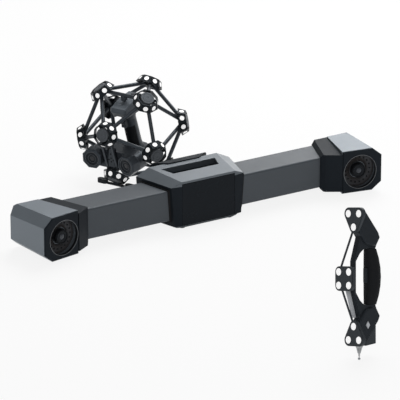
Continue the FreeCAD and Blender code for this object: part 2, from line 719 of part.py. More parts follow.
def lens_bar(radius, front, back):
    """A bar on the right lens's axis, between two depths behind the front face."""
    start = LENS_CENTRE + INTO_HEAD * float(front)
    end = LENS_CENTRE + INTO_HEAD * float(back)
    return cylinder(radius, start, end)


def rear_recess(grow=0.0):
    """Seat of the rear cover in the back of the right housing."""
    width = float(size("rear_cover_width")) / 2 + grow
    height = float(size("rear_cover_height")) / 2 + grow
    thick = float(size("rear_cover_thick"))
    middle_x = rear_middle()
    return box((middle_x - width, HEAD_BACK_Y - thick, LENS_Z - height),
               (middle_x + width, HEAD_BACK_Y, LENS_Z + height))


def rear_middle():
    """Middle of the flat at the back of the right housing."""
    return (HEAD_JOIN_X + HEAD_BACK_X) / 2


def sensor_depth():
    """Depth of the sensor board behind the front face."""
    return float(size("barrel_tail")) + float(size("sensor_thick"))


def make_heads():
    bezel = float(size("bezel_thick"))
    recess = float(size("recess_depth"))
    block = head_block()
    front_cut = [LENS_CENTRE + INTO_HEAD * bezel + offset
                 for offset in (Vector(0, 0, 0), FRONT_DIRECTION, Z_AXIS)]
    shell = trimmed(block, *front_cut, LENS_CENTRE + INTO_HEAD * recess)
    shell = shell.cut(lens_bar(size("lens_opening"), 0, recess))
    tube = float(size("barrel_radius"))
    shell = shell.cut(lens_bar(tube, recess, float(size("barrel_tail"))))
    side = float(size("sensor_side")) / 2
    room = 3 * side
    well = Part.makeBox(2 * side, room, 2 * side, Vector(-side, float(size("barrel_tail")), -side))
    well.Placement = lens_place(1)
    inner_wall = float(size("rear_cover_thick")) + float(SEAT_GAP)
    limit = HEAD_BACK_Y - inner_wall
    well = well.common(box((0, -limit, 0), (2 * HEAD_OUTER.x, limit, HEAD_TOP)))
    shaft_side = float(size("rear_cover_width")) / 2 - inner_wall
    shaft = box((rear_middle() - shaft_side, limit - inner_wall, LENS_Z - side),
                (rear_middle() + shaft_side, limit, LENS_Z + side))
    shell = only_solid(shell.cut(well).cut(shaft).cut(rear_recess(float(SEAT_GAP))))
    for name, side_sign in SIDES:
        solid_node(f"{name}_camera_housing", for_side(shell, side_sign))
        make_bezel(name, side_sign)


def bezel_outline(side):
    """Corners of the front face, seen from the front, about the lens centre."""
    inset = size("bezel_inset")
    inner = (-size("lens_along") + inset) * side
    outer = (size("head_front_width") - size("lens_along") - inset) * side
    shoulder = (size("head_front_width") - size("lens_along") - size("head_bevel_in")
                - inset / 2) * side
    low = inset - size("lens_up")
    high = HEAD_HEIGHT - size("lens_up") - inset
    low_rim = size("head_bevel_down") - size("lens_up") + inset / 2
    high_rim = HEAD_HEIGHT - size("head_bevel_down") - size("lens_up") - inset / 2
    return [(inner, low), (shoulder, low), (outer, low_rim),
            (outer, high_rim), (shoulder, high), (inner, high)]


def make_bezel(name, side):
    body = new_body(f"{name}_front_bezel", lens_place(side))
    outline = new_sketch(body, "XZ_Plane", f"{name.title()}BezelOutline")
    draw_polygon(outline, bezel_outline(side))
    thick = size("bezel_thick")
    pad(body, outline, thick, f"{name.title()}BezelPad", reverse=True)
    on_front = lambda edge: all(near(vertex.Point.y, 0) for vertex in edge.Vertexes)
    dress(body, "Chamfer", on_front, size("bezel_bevel"), f"{name.title()}BezelBevel")
    opening = new_sketch(body, "XZ_Plane", f"{name.title()}BezelOpening")
    draw_circle(opening, 0, 0, size("lens_opening"))
    pocket(body, opening, thick * 3, f"{name.title()}BezelBore", both_ways=True)


def turned_part(label, profile, placement):
    """A piece turned about the Y axis of its own frame, from radius and depth."""
    body = new_body(label, placement)
    sketch = new_sketch(body, "XY_Plane", f"{label.title().replace('_', '')}Profile")
    draw_polygon(sketch, profile)
    revolve(body, sketch, "V_Axis", f"{label.title().replace('_', '')}Turn")
    return body


def lens_ring_shape():
    """Light ring of the right lens, with a flared mouth."""
    outer = float(size("lens_opening"))
    inner = outer - float(size("lens_ring_wall"))
    front = -float(size("lens_ring_proud"))
    back = float(size("lens_ring_depth"))
    flare = float(size("lens_ring_wall")) / 2
    profile = [(inner + flare, front), (outer, front), (outer, back), (inner, back),
               (inner, front + flare)]
    points = [Vector(radius, depth, 0) for radius, depth in profile]
    face = Part.Face(Part.makePolygon(points + points[:1]))
    ring = face.revolve(Vector(0, 0, 0), Y_AXIS, 360)
    ring.Placement = lens_place(1)
    return ring


def led_board_shape():
    """Ring-shaped board with its LEDs, in the lens frame."""
    back = float(size("recess_depth"))
    front = back - float(size("led_board_thick"))
    inner = (float(size("barrel_radius")) + float(size("barrel_flange")) + float(SEAT_GAP))
    outer = float(size("lens_opening")) - float(SEAT_GAP)
    start = Vector(0, front, 0)
    end = Vector(0, back, 0)
    board = cylinder(outer, start, end).cut(cylinder(inner, start, end))
    side = float(size("led_size"))
    height = float(size("led_height"))
    count = int(float(size("led_count")))
    led = Part.makeBox(side, height, side,
                       Vector(float(size("led_circle")) - side / 2, front - height, -side / 2))
    leds = []
    for index in range(count):
        turn = Placement(Vector(0, 0, 0), Rotation(Y_AXIS, index * 360 / count))
        leds.append(led.transformGeometry(turn.toMatrix()))
    return only_solid(board.fuse(leds))


def make_lens_parts():
    for name, side in SIDES:
        place = lens_place(side)
        tube = size("barrel_radius")
        wall = size("barrel_wall")
        flange = tube + size("barrel_flange")
        front = size("barrel_front")
        seat = size("recess_depth")
        rim = size("led_board_thick")
        glass = front + size("glass_rise") + size("glass_thick")
        turned_part(f"{name}_lens_barrel",
                    [(tube - wall, front), (tube - wall / 2, front), (tube, front + wall),
                     (tube, seat - rim), (flange, seat - rim), (flange, seat), (tube, seat),
                     (tube, size("barrel_tail")), (tube - wall * 2, size("barrel_tail")),
                     (tube - wall * 2, glass), (tube - wall, glass)], place)
        solid_node(f"{name}_front_lens", dome_shape(), place)
    boards = [put(led_board_shape(), lens_place(side)) for name, side in SIDES]
    solid_node("led_boards", Part.makeCompound(boards))


def dome_shape():
    """Domed front lens, with its edge seated on the step in the barrel."""
    radius = float(size("barrel_radius")) - float(size("barrel_wall"))
    rise = float(size("glass_rise"))
    peak = float(size("barrel_front"))
    edge = peak + rise
    back = edge + float(size("glass_thick"))
    diagonal = math.sqrt(0.5)
    ball = (radius * radius + rise * rise) / (2 * rise)
    half_way = radius * diagonal
    arc_depth = peak + ball - math.sqrt(ball * ball - half_way * half_way)
    arc = Part.Arc(Vector(0, peak, 0), Vector(half_way, arc_depth, 0), Vector(radius, edge, 0))
    rest = Part.makePolygon([Vector(radius, edge, 0), Vector(radius, back, 0),
                             Vector(0, back, 0), Vector(0, peak, 0)])
    wire = Part.Wire([arc.toShape()] + rest.Edges)
    return Part.Face(wire).revolve(Vector(0, 0, 0), Y_AXIS, 360)


def sensor_board_shape():
    """Square board with an image sensor, against the back of the right barrel."""
    side = float(size("sensor_side"))
    near_side = float(size("barrel_tail"))
    chip = float(size("sensor_chip"))
    thick = float(size("sensor_thick"))
    board = Part.makeBox(side, thick, side, Vector(-side / 2, near_side, -side / 2))
    chip_block = Part.makeBox(chip, thick, chip, Vector(-chip / 2, near_side - thick, -chip / 2))
    both = board.fuse(chip_block)
    both.Placement = lens_place(1)
    return both


def both_sides(label, shape):
    """One node that holds a piece and its mirror image."""
    return solid_node(label, Part.makeCompound([mirrored(shape), shape]))


def make_collars():
    """Collar between the beam and the right housing, and its mirror image."""
    start = float(BEAM_HALF - size("collar_grip"))
    full = start + float(size("collar_run"))
    front = float(BEAM_FRONT - size("collar_before"))
    back = float(BEAM_BACK + size("collar_behind"))
    lip = float(size("collar_lip"))
    corner = HEAD_JOIN_X - float(size("collar_tail"))
    slant = float(size("collar_slant"))
    outline = [(start, float(BEAM_FRONT) - lip), (full, front), (HEAD_INNER.x, HEAD_INNER.y),
               (HEAD_JOIN_X, HEAD_BACK_Y), (corner, HEAD_BACK_Y), (full + slant, back),
               (start + slant, float(BEAM_BACK) + lip)]
    low = float(BEAM_LOW - size("collar_under"))
    high = float(BEAM_TOP + size("collar_over"))
    block = plan_prism(outline, low, high)
    inside = Vector(HEAD_INNER.x, 0, (low + high) / 2)
    for rim, level, way in ((BEAM_TOP, high, 1), (BEAM_LOW, low, -1)):
        edge = Vector(start, float(BEAM_FRONT), float(rim) + way * lip)
        far = Vector(start + slant, float(BEAM_BACK), edge.z)
        block = trimmed(block, edge, far, Vector(full, edge.y, level), inside)
    block = back_bevelled(block, inside)
    block = only_solid(block.cut(beam_block(BEAM_HALF)))
    for name, side in SIDES:
        solid_node(f"{name}_end_collar", for_side(block, side))


make_beam()
make_collars()
make_heads()
both_sides("lens_rings", lens_ring_shape())
make_lens_parts()
both_sides("sensor_boards", sensor_board_shape())

# Centre module
PANEL_Y = BEAM_FRONT - size("panel_before")
PANEL_HALF = size("panel_half_width")
CHEEK_HALF = size("cheek_half_width")
CHEEK_Y = PANEL_Y + size("cheek_behind")
MODULE_BACK = BEAM_BACK + size("module_behind")
MODULE_HALF_BACK = size("module_half_back")
SHOULDER = BEAM_TOP + size("shoulder_over")
CROWN_FRONT = SHOULDER + size("crown_front_rise")
CROWN_BACK = SHOULDER + size("crown_back_rise")
FOOT_HEIGHT = size("foot_height")
MODULE_LOW = FOOT_HEIGHT + size("plate_thick")
PANEL_LOW = MODULE_LOW + size("panel_up")
PORT_LOW = MODULE_LOW + size("port_panel_up")
MODULE_CORE = Vector(0, 0, float(SHOULDER))


def module_side_plane():
    """Three points of the right side of the module, which leans in downwards."""
    front = Vector(float(CHEEK_HALF), float(CHEEK_Y), float(SHOULDER))
    back = Vector(float(MODULE_HALF_BACK), float(MODULE_BACK), float(SHOULDER))
    foot = Vector(float(CHEEK_HALF - size("cheek_taper")), float(CHEEK_Y), float(MODULE_LOW))
    return front, back, foot


def flipped(points):
    return [Vector(-point.x, point.y, point.z) for point in points]


def module_block():
    """Whole outside of the module, from its underside to the crown."""
    front = [(-PANEL_HALF, PANEL_Y), (PANEL_HALF, PANEL_Y), (CHEEK_HALF, CHEEK_Y)]
    back = [(MODULE_HALF_BACK, MODULE_BACK), (-MODULE_HALF_BACK, MODULE_BACK),
            (-CHEEK_HALF, CHEEK_Y)]
    crown_front = float(CROWN_FRONT)
    crown_back = float(CROWN_BACK)
    block = plan_prism(front + back, MODULE_LOW, crown_back + 1)
    front_edge = Vector(0, float(PANEL_Y), crown_front)
    block = trimmed(block, front_edge, front_edge + X_AXIS,
                    Vector(0, float(MODULE_BACK), crown_back), MODULE_CORE)
    side = module_side_plane()
    slope = [side[0], side[1], Vector(float(PANEL_HALF), float(PANEL_Y), crown_front)]
    for plane in (side, slope):
        block = trimmed(block, *plane, MODULE_CORE)
        block = trimmed(block, *flipped(plane), MODULE_CORE)
    return block


def panel_block(grow=0.0):
    """The front panel, or its seat when it grows."""
    half = float(PANEL_HALF) - float(size("panel_margin")) + grow
    high = float(CROWN_FRONT - size("panel_top_margin")) + grow
    low = float(PANEL_LOW) - grow
    back = float(PANEL_Y) + float(size("panel_thick"))
    return box((-half, float(PANEL_Y), low), (half, back, high))


def grip_space():
    """The slot in the top cover that takes the fingers."""
    front = float(size("grip_front_y"))
    back = float(size("grip_back_y"))
    front_half = float(size("grip_front_half"))
    back_half = float(size("grip_back_half"))
    outline = [(-front_half, front), (front_half, front), (back_half, back), (-back_half, back)]
    return plan_prism(outline, BEAM_TOP + size("grip_floor_over"), CROWN_BACK + 1)


def port_plate(grow=0.0):
    """The connector panel in the back of the module, or its seat."""
    half = float(size("port_panel_width")) / 2 + grow
    low = float(PORT_LOW)
    high = low + float(size("port_panel_height"))
    thick = float(size("port_panel_thick"))
    back = float(MODULE_BACK)
    return box((-half, back - thick, low - grow), (half, back, high + grow))


def port_middle_z():
    return float(PORT_LOW) + float(size("port_panel_height")) / 2


def port_places():
    """Centres of the two sockets, left and right of the power button."""
    pitch = float(size("port_panel_width")) / 3
    return [Vector(-pitch, float(MODULE_BACK), port_middle_z()),
            Vector(0, float(MODULE_BACK), port_middle_z())]


def power_place():
    pitch = float(size("port_panel_width")) / 3
    return Vector(pitch, float(MODULE_BACK), port_middle_z())


def hood_block():
    """Hood over the connectors, let into the back of the top cover."""
    front = float(MODULE_BACK - size("notch_depth"))
    back = float(MODULE_BACK + size("hood_behind"))
    inner = float(size("notch_half"))
    outer = float(size("hood_half"))
    outline = [(-inner, front), (inner, front), (outer, back), (-outer, back)]
    block = plan_prism(outline, SHOULDER - size("hood_drop"), CROWN_BACK + size("hood_over"))
    rear = [edge for edge in block.Edges
            if runs_along(edge, X_AXIS) and near(edge.CenterOfMass.y, back)]
    block = block.makeFillet(float(size("hood_round")), rear)
    return only_solid(block.cut(box((-outer, 0, 0), (outer, MODULE_BACK, SHOULDER))))


def make_module():
    block = module_block()
    reach = float(MODULE_HALF_BACK) + 1
    lower = block.common(box((-reach, -reach, 0), (reach, reach, SHOULDER)))
    upper = block.common(box((-reach, -reach, SHOULDER), (reach, reach, 2 * float(SHOULDER))))
    grip = grip_space()
    seat = panel_block(float(SEAT_GAP))
    gap = float(SEAT_GAP)
    lower = lower.cut(beam_block(BEAM_HALF)).cut(grip).cut(seat)
    inset = float(size("board_post")) + float(size("board_thick"))
    room = float(size("board_width")) / 2 + inset
    middle = (float(BEAM_LOW) + float(BEAM_TOP)) / 2
    high = float(size("board_height")) / 2 + inset
    lower = lower.cut(box((-room, float(PANEL_Y) + 1, middle - high),
                          (room, float(BEAM_FRONT) + 1, middle + high)))
    lower = lower.cut(port_plate(gap))
    port_half = float(size("port_panel_width")) / 2 - inset
    port_high = float(size("port_panel_height")) / 2 - inset
    lower = lower.cut(box((-port_half, float(BEAM_BACK) - 1, port_middle_z() - port_high),
                          (port_half, float(MODULE_BACK) - 1, port_middle_z() + port_high)))
    insert_top = float(FOOT_HEIGHT + size("thread_depth") + gap)
    lower = lower.cut(cylinder(size("insert_radius"), Vector(0, 0, 0), Vector(0, 0, insert_top)))
    solid_node("centre_housing", only_solid(lower))
    hood = hood_block()
    solid_node("top_cover", only_solid(upper.cut(grip).cut(seat).cut(hood)))
    cover = rear_recess()
    solid_node("rear_covers", Part.makeCompound([mirrored(cover), cover, hood]))


def make_front_panel():
    body = new_body("front_panel")
    outline = new_sketch(body, "XZ_Plane", "PanelOutline", -PANEL_Y)
    half = PANEL_HALF - size("panel_margin")
    high = CROWN_FRONT - size("panel_top_margin")
    draw_polygon(outline, rectangle(-half, half, PANEL_LOW, high))
    pad(body, outline, size("panel_thick"), "PanelPad", reverse=True)
    on_front = lambda edge: all(near(vertex.Point.y, PANEL_Y) for vertex in edge.Vertexes)
    dress(body, "Chamfer", on_front, size("panel_bevel"), "PanelBevel")


def make_gaskets():
    """Rubber frames where the beam enters the module's slanting sides."""
    frame = beam_block(BEAM_HALF, size("gasket_proud")).cut(beam_block(BEAM_HALF + 1))
    side = module_side_plane()
    outward = (side[1] - side[0]).cross(side[2] - side[0]).normalize()
    if outward.x < 0:
        outward = outward * -1
    outer = [point + outward * float(size("gasket_width")) for point in side]
    far = Vector(float(BEAM_HALF), 0, float(SHOULDER))
    gasket = trimmed(trimmed(frame, *side, far), *outer, MODULE_CORE)
    both_sides("module_gaskets", only_solid(gasket))


def foot_rows():
    """Places of the front and the back feet, front to back."""
    return (float(PANEL_Y + size("foot_front_in")), float(MODULE_BACK - size("foot_back_in")))


def make_bottom():
    """Bottom plate, feet and the insert with the tripod thread."""
    body = new_body("bottom_plate")
    outline = new_sketch(body, "XY_Plane", "PlateOutline", FOOT_HEIGHT)
    inset = size("plate_inset")
    taper = size("cheek_taper")
    front = PANEL_Y + inset / 3
    back = MODULE_BACK - inset
    wide = CHEEK_HALF - taper - inset
    draw_polygon(outline, [(-PANEL_HALF + inset / 2, front), (PANEL_HALF - inset / 2, front),
                           (wide, CHEEK_Y + inset / 2), (MODULE_HALF_BACK - taper - inset, back),
                           (-MODULE_HALF_BACK + taper + inset, back),
                           (-wide, CHEEK_Y + inset / 2)])
    draw_circle(outline, 0, 0, size("insert_radius"))
    pad(body, outline, size("plate_thick"), "PlatePad")
    low_rim = lambda edge: (all(near(vertex.Point.z, FOOT_HEIGHT) for vertex in edge.Vertexes)
                            and edge.Curve.TypeId == "Part::GeomLine")
    dress(body, "Chamfer", low_rim, size("plate_bevel"), "PlateBevel")

    thread = size("thread_radius")
    tube = size("insert_radius")
    top = FOOT_HEIGHT + size("thread_depth")
    insert = new_body("tripod_socket")
    profile = new_sketch(insert, "XZ_Plane", "InsertProfile")
    draw_polygon(profile, [(thread, 0), (size("insert_flange"), 0),
                           (size("insert_flange"), FOOT_HEIGHT), (tube, FOOT_HEIGHT),
                           (tube, top), (0, top), (0, size("thread_depth")),
                           (thread, size("thread_depth"))])
    revolve(insert, profile, "V_Axis", "InsertTurn")

    radius = float(size("foot_radius"))
    low_radius = radius - float(FOOT_HEIGHT) / 3
    foot = Part.makeCone(low_radius, radius, float(FOOT_HEIGHT))
    feet = []
    for across in (-float(size("foot_x")), float(size("foot_x"))):
        for along in foot_rows():
            feet.append(foot.translated(Vector(across, along, 0)))
    solid_node("tracker_feet", Part.makeCompound(feet))


def make_ports():
    """Connector panel with its two round sockets and the power button."""
    plate = port_plate()
    proud = float(size("socket_proud"))
    radius = float(size("socket_radius"))
    depth = float(size("port_panel_thick")) + 2 * proud
    sockets = []
    for centre in port_places():
        inner = centre - Y_AXIS * depth
        outer = centre + Y_AXIS * proud
        plate = plate.cut(cylinder(radius, inner, outer))
        shell = cylinder(radius, inner, outer)
        mouth = cylinder(size("socket_bore"), outer - Y_AXIS * float(size("socket_mouth")), outer)
        pin = cylinder(size("socket_bore") / 3, inner,
                       outer - Y_AXIS * float(size("socket_pin")))
        sockets.append(only_solid(shell.cut(mouth).fuse(pin)))
    button = power_place()
    key_hole = cylinder(size("power_key_radius") + KEY_GAP, button - Y_AXIS * depth,
                        button + Y_AXIS)
    solid_node("connector_panel", only_solid(plate.cut(key_hole)))
    solid_node("rear_sockets", Part.makeCompound(sockets))
    key = size("power_key_radius")
    proud_key = size("power_key_proud")
    tail = size("port_panel_thick") + size("power_key_travel")
    rim = proud_key * float(size("power_key_rim"))
    crown = key * float(size("power_key_crown"))
    profile = [(0, -tail), (key, -tail), (key, rim), (crown, proud_key), (0, proud_key)]
    turned_part("power_button", profile, Placement(button, Rotation()))


def make_controller():
    """Controller board on posts behind the front panel."""
    behind = float(PANEL_Y) + float(size("panel_thick"))
    post = float(size("board_post"))
    thick = float(size("board_thick"))
    wide = float(size("board_width")) / 2
    high = float(size("board_height")) / 2
    middle = (float(BEAM_LOW) + float(BEAM_TOP)) / 2
    front = behind + post
    board = box((-wide, front, middle - high), (wide, front + thick, middle + high))
    chip = float(size("board_chip")) / 2
    extras = [box((-chip, front + thick, middle - chip), (chip, front + 2 * thick, middle + chip)),
              box((2 * chip, front + thick, middle - chip),
                  (3 * chip, front + 2 * thick, middle + chip / 2))]
    for across in (-wide + post, wide - post):
        for up in (-high + post, high - post):
            foot = Vector(across, behind, middle + up)
            extras.append(cylinder(post / 2, foot, foot + Y_AXIS * post))
    solid_node("controller_board", only_solid(board.fuse(extras)))


def screw_head(seat, outward):
    """Head of one small screw on its seat."""
    sides = int(float(size("screw_head_sides")))
    return prism_between(sides, size("screw_head_radius"), seat,
                         seat + outward * float(size("screw_head_height")))


def four_corners(centre, half_wide, half_high):
    return [centre + Vector(across, 0, up) for across in (-half_wide, half_wide)
            for up in (-half_high, half_high)]


def make_tracker_screws():
    """Screws of the rear covers, the connector panel and the bottom plate."""
    edge = 1.8 * float(size("screw_head_radius"))
    heads = []
    cover = Vector(rear_middle(), HEAD_BACK_Y, LENS_Z)
    for place in four_corners(cover, float(size("rear_cover_width")) / 2 - edge,
                              float(size("rear_cover_height")) / 2 - edge):
        heads.append(screw_head(place, Y_AXIS))
        heads.append(screw_head(Vector(-place.x, place.y, place.z), Y_AXIS))
    panel = Vector(0, float(MODULE_BACK), port_middle_z())
    for place in four_corners(panel, float(size("port_panel_width")) / 2 - edge,
                              float(size("port_panel_height")) / 2 - edge):
        heads.append(screw_head(place, Y_AXIS))
    inward = 2 * float(size("foot_radius"))
    for across in (-float(size("foot_x")) + inward, float(size("foot_x")) - inward):
        for along in foot_rows():
            heads.append(screw_head(Vector(across, along, float(FOOT_HEIGHT)), -Z_AXIS))
    solid_node("tracker_screws", Part.makeCompound(heads))


make_module()
make_front_panel()
make_gaskets()
make_bottom()
make_ports()
make_controller()
make_tracker_screws()

# Scanner cage: the corners of a regular icosahedron, less the one behind the hand
GOLDEN = (1 + math.sqrt(5)) / 2
CAGE_RADIUS = float(size("cage_radius"))
HAND_CORNER = (0, 1, -1)
FORK_CORNERS = ((0, -1, 1), (0, -1, -1))
BODY_EDGES = (((0, -1, -1), (1, -1, 0)), ((0, -1, -1), (-1, -1, 0)))


def corner_point(corner):
    """Place of a corner from its signs: (across, along, up), one of them zero."""
    across, along, up = corner
    scale = CAGE_RADIUS / math.hypot(1, GOLDEN)
    if across == 0:
        return Vector(0, along * GOLDEN, up) * scale
    if along == 0:
        return Vector(across, 0, up * GOLDEN) * scale
    return Vector(across * GOLDEN, along, 0) * scale


def cage_corners():
    """Signs of the corners that carry a ring."""
    signs = (-1, 1)
    corners = [(0, first, second) for first in signs for second in signs]
    corners += [(first, 0, second) for first in signs for second in signs]
    corners += [(first, second, 0) for first in signs for second in signs]
    return [corner for corner in corners if corner != (0, 1, -1)]


CORNERS = cage_corners()
EDGE_LENGTH = 2 * CAGE_RADIUS / math.hypot(1, GOLDEN)


def neighbours(corner):
    here = corner_point(corner)
    return [other for other in CORNERS
            if other != corner and near((corner_point(other) - here).Length, EDGE_LENGTH)]


def ring_frame(corner):
    """Frame of a ring: Z outwards, X towards a neighbour."""
    here = corner_point(corner)
    outward = Vector(here).normalize()
    towards = corner_point(neighbours(corner)[0]) - here
    across = (towards - outward * towards.dot(outward)).normalize()
    return Placement(here, Rotation(across, outward.cross(across), outward, "ZXY"))


TILT = math.radians(float(size("ring_tilt")))
RING_SIDES = int(float(size("ring_sides")))
CAP_SIDES = int(float(size("cap_sides")))
DOT_SIDES = int(float(size("dot_sides")))
ROD_SIDES = int(float(size("rod_sides")))
RING_RISE = float(size("ring_band")) / 2 * math.cos(TILT)
RING_LEAN = float(size("ring_band")) / 2 * math.sin(TILT)
RING_MIDDLE = float(size("ring_middle"))
ROD_FALL = math.asin(EDGE_LENGTH / 2 / CAGE_RADIUS)


def ring_skin(inset):
    """The solid inside a ring's facets, moved in by inset."""
    shift = inset / math.cos(TILT)
    return tapered_prism(RING_SIDES, -RING_RISE, RING_MIDDLE + RING_LEAN - shift,
                         RING_RISE, RING_MIDDLE - RING_LEAN - shift)


def marker_ring():
    """One ring with five spokes and a hub, whose facets seat the rods squarely."""
    outside = ring_skin(0)
    band = outside.cut(ring_skin(float(size("ring_wall"))))
    seat = float(size("rod_seat"))
    low = -float(size("hub_low"))
    waist = -float(size("hub_waist"))
    flats = [(seat + level * math.sin(ROD_FALL)) / math.cos(ROD_FALL) for level in (low, waist)]
    pieces = [tapered_prism(5, low, flats[0], waist, flats[1])]
    collar = float(size("hub_collar"))
    pieces.append(tapered_prism(10, waist, collar, float(size("hub_high")), collar))
    width = float(size("spoke_width"))
    height = float(size("spoke_height"))
    for index in range(5):
        spoke = Part.makeBox(RING_MIDDLE, width, height, Vector(0, -width / 2, -height / 2))
        spoke.Placement = Placement(Vector(0, 0, 0), Rotation(Z_AXIS, index * 72))
        pieces.append(spoke.common(outside))
    return only_solid(band.fuse(pieces))


def hub_cap():
    """Round cap with a bevelled rim, seated on the hub's collar."""
    radius = float(size("cap_radius"))
    low = float(size("hub_high"))
    high = low + float(size("cap_thick"))
    rim = float(size("cap_rim"))
    lower = tapered_prism(CAP_SIDES, low, radius, high - rim, radius)
    return lower.fuse(tapered_prism(CAP_SIDES, high - rim, radius, high, radius - rim))


def ring_dots():
    """Reflective markers, one on each facet."""
    radius = float(size("dot_radius"))
    flat = tapered_prism(DOT_SIDES, 0, radius, float(size("dot_thick")), radius)
    normal = Vector(math.cos(TILT), 0, math.sin(TILT))
    seat = Placement(Vector(RING_MIDDLE, 0, 0), Rotation(Z_AXIS, normal))
    turns = [Rotation(Z_AXIS, index * 360 / RING_SIDES) for index in range(RING_SIDES)]
    return [put(flat, Placement(Vector(0, 0, 0), turn) * seat) for turn in turns]


def cage_lean():
    return (Rotation(Z_AXIS, float(size("scanner_turn")))
            * Rotation(X_AXIS, float(size("scanner_pitch"))))


def scanner_place(rings):
    """The cage stands on the floor with the lowest edges of its rings."""
    lean = Placement(Vector(0, 0, 0), cage_lean())
    lowest = min(lean.multVec(vertex.Point).z for ring in rings for vertex in ring.Vertexes)
    centre = Vector(float(size("scanner_x")), float(size("scanner_y")), -lowest)
    return Placement(centre, cage_lean())


def seated_ends(first, second, inset):
    """Two points on the line between two corners, each inset from its corner."""
    start = corner_point(first)
    end = corner_point(second)
    way = (end - start).normalize()
    return start + way * inset, end - way * inset


def cage_rod_shapes():
    rods = []
    pairs = [tuple(sorted(pair)) for pair in BODY_EDGES + (FORK_CORNERS,)]
    for corner in CORNERS:
        for other in neighbours(corner):
            if other > corner and (corner, other) not in pairs:
                ends = seated_ends(corner, other, float(size("rod_seat")))
                rods.append(prism_between(ROD_SIDES, size("rod_radius"), *ends))
    return rods


def fork_shape():
    """Fork of two bars between the front rings, open in front of the projector."""
    radius = float(size("rod_radius"))
    bar = float(size("fork_bar"))
    spread = float(size("fork_spread"))
    neck = float(size("fork_neck"))
    top, bottom = seated_ends(*FORK_CORNERS, float(size("rod_seat")))
    high, low = seated_ends(*FORK_CORNERS, neck)
    pieces = [cylinder(radius, top, high), cylinder(radius, low, bottom)]
    for point in (high, low):
        pieces.append(box((-spread - bar / 2, point.y - bar / 2, point.z - bar / 2),
                          (spread + bar / 2, point.y + bar / 2, point.z + bar / 2)))
    for side in (-spread, spread):
        pieces.append(box((side - bar / 2, low.y - bar / 2, low.z),
                          (side + bar / 2, low.y + bar / 2, high.z)))
    front = -float(BODY_FRONT)
    saddle = box((-bar, front - bar, float(BODY_LOW)), (bar, front, float(BODY_LOW) + bar))
    body_top = float(BODY_LOW + size("body_height"))
    body_room = box((-spread, front, float(BODY_LOW)), (spread, 0, body_top))
    for block in (saddle, body_room):
        block.Placement = CAGE_TO_BODY
    return only_solid(pieces[0].fuse(pieces[1:] + [saddle]).cut(body_room))


def make_cage():
    ring = marker_ring()
    cap = hub_cap()
    dots = ring_dots()
    frames = [ring_frame(corner) for corner in CORNERS]
    rings = [put(ring, frame) for frame in frames]
    place = scanner_place(rings)
    solid_node("marker_rings", Part.makeCompound(rings), place)
    solid_node("hub_caps", Part.makeCompound([put(cap, frame) for frame in frames]), place)
    all_dots = [put(dot, frame) for frame in frames for dot in dots]
    solid_node("cage_markers", Part.makeCompound(all_dots), place)
    solid_node("cage_rods", Part.makeCompound(cage_rod_shapes()), place)
    return place


CAGE_TO_BODY = Placement(Vector(0, 0, 0), Rotation(X_AXIS, -float(size("body_tilt"))))
CAGE_PLACE = make_cage()
BODY_PLACE = CAGE_PLACE * CAGE_TO_BODY

# Scanner body, in its own frame: X to its right, Y backwards, Z up from the cage's centre
BODY_LOW = size("body_low_z")
BODY_FRONT = size("body_front")
KEEL_TOP = size("keel_top")


def make_scanner_body():
    body = new_body("scanner_body", BODY_PLACE)
    block = new_sketch(body, "XY_Plane", "BlockOutline", BODY_LOW)
    half = size("body_half")
    back = -BODY_FRONT + size("body_depth")
    draw_polygon(block, rectangle(-half, half, -BODY_FRONT, back))
    pad(body, block, size("body_height"), "BlockPad")
    dress(body, "Fillet", lambda edge: runs_along(edge, Y_AXIS), size("body_round"), "BlockSides")
    keel = new_sketch(body, "XY_Plane", "KeelOutline", BODY_LOW)
    wide = size("keel_half")
    draw_polygon(keel, rectangle(-wide, wide, back - size("body_lap"), size("keel_back")))
    pad(body, keel, KEEL_TOP - BODY_LOW, "KeelPad")
    tail = lambda edge: (runs_along(edge, Z_AXIS)
                         and near(edge.CenterOfMass.y, size("keel_back")))
    dress(body, "Fillet", tail, wide / 2, "KeelTail")


def pod_place(side):
    centre = Vector(side * float(size("pod_x")), -float(size("pod_front")), float(size("pod_z")))
    return Placement(centre, Rotation(Z_AXIS, -side * float(size("pod_toe_in"))))


def pod_shape(side):
    """Eight-sided camera housing that meets the flat front of the body."""
    reach = 2 * float(size("pod_front") - BODY_FRONT)
    outline = regular_outline(8, float(size("pod_apothem")), 0)
    prism = Part.Face(outline).extrude(Vector(0, 0, reach))
    bevel = float(size("pod_bore_depth")) / 4
    edges = [edge for edge in prism.Edges if all(near(v.Point.z, 0) for v in edge.Vertexes)]
    prism = prism.makeChamfer(bevel, edges)
    prism.Placement = pod_place(side) * Placement(Vector(0, 0, 0), Rotation(X_AXIS, -90))
    front = Vector(0, -float(BODY_FRONT), 0)
    prism = trimmed(prism, front, front + X_AXIS, front + Z_AXIS, front - Y_AXIS)
    start = pod_place(side).multVec(Vector(0, -1, 0))
    end = pod_place(side).multVec(Vector(0, float(size("pod_bore_depth")), 0))
    return only_solid(prism.cut(cylinder(size("pod_bore"), start, end)))


def pod_lens(side):
    """Stepped lens mount with its glass, in one camera housing."""
    outer = float(size("pod_bore")) - float(SEAT_GAP)
    back = float(size("pod_bore_depth"))
    step = back / 8
    rim = outer * float(size("pod_lens_rim"))
    cone = outer * float(size("pod_lens_cone"))
    seat = outer * float(size("pod_lens_seat"))
    glass = outer * float(size("pod_lens_glass"))
    profile = [(0, back), (outer, back), (outer, step), (rim, step), (cone, 3 * step),
               (seat, 2 * step), (glass, 4 * step), (0, 3 * step)]
    points = [Vector(radius, depth, 0) for radius, depth in profile]
    face = Part.Face(Part.makePolygon(points + points[:1]))
    lens = face.revolve(Vector(0, 0, 0), Y_AXIS, 360)
    lens.Placement = pod_place(side)
    return lens


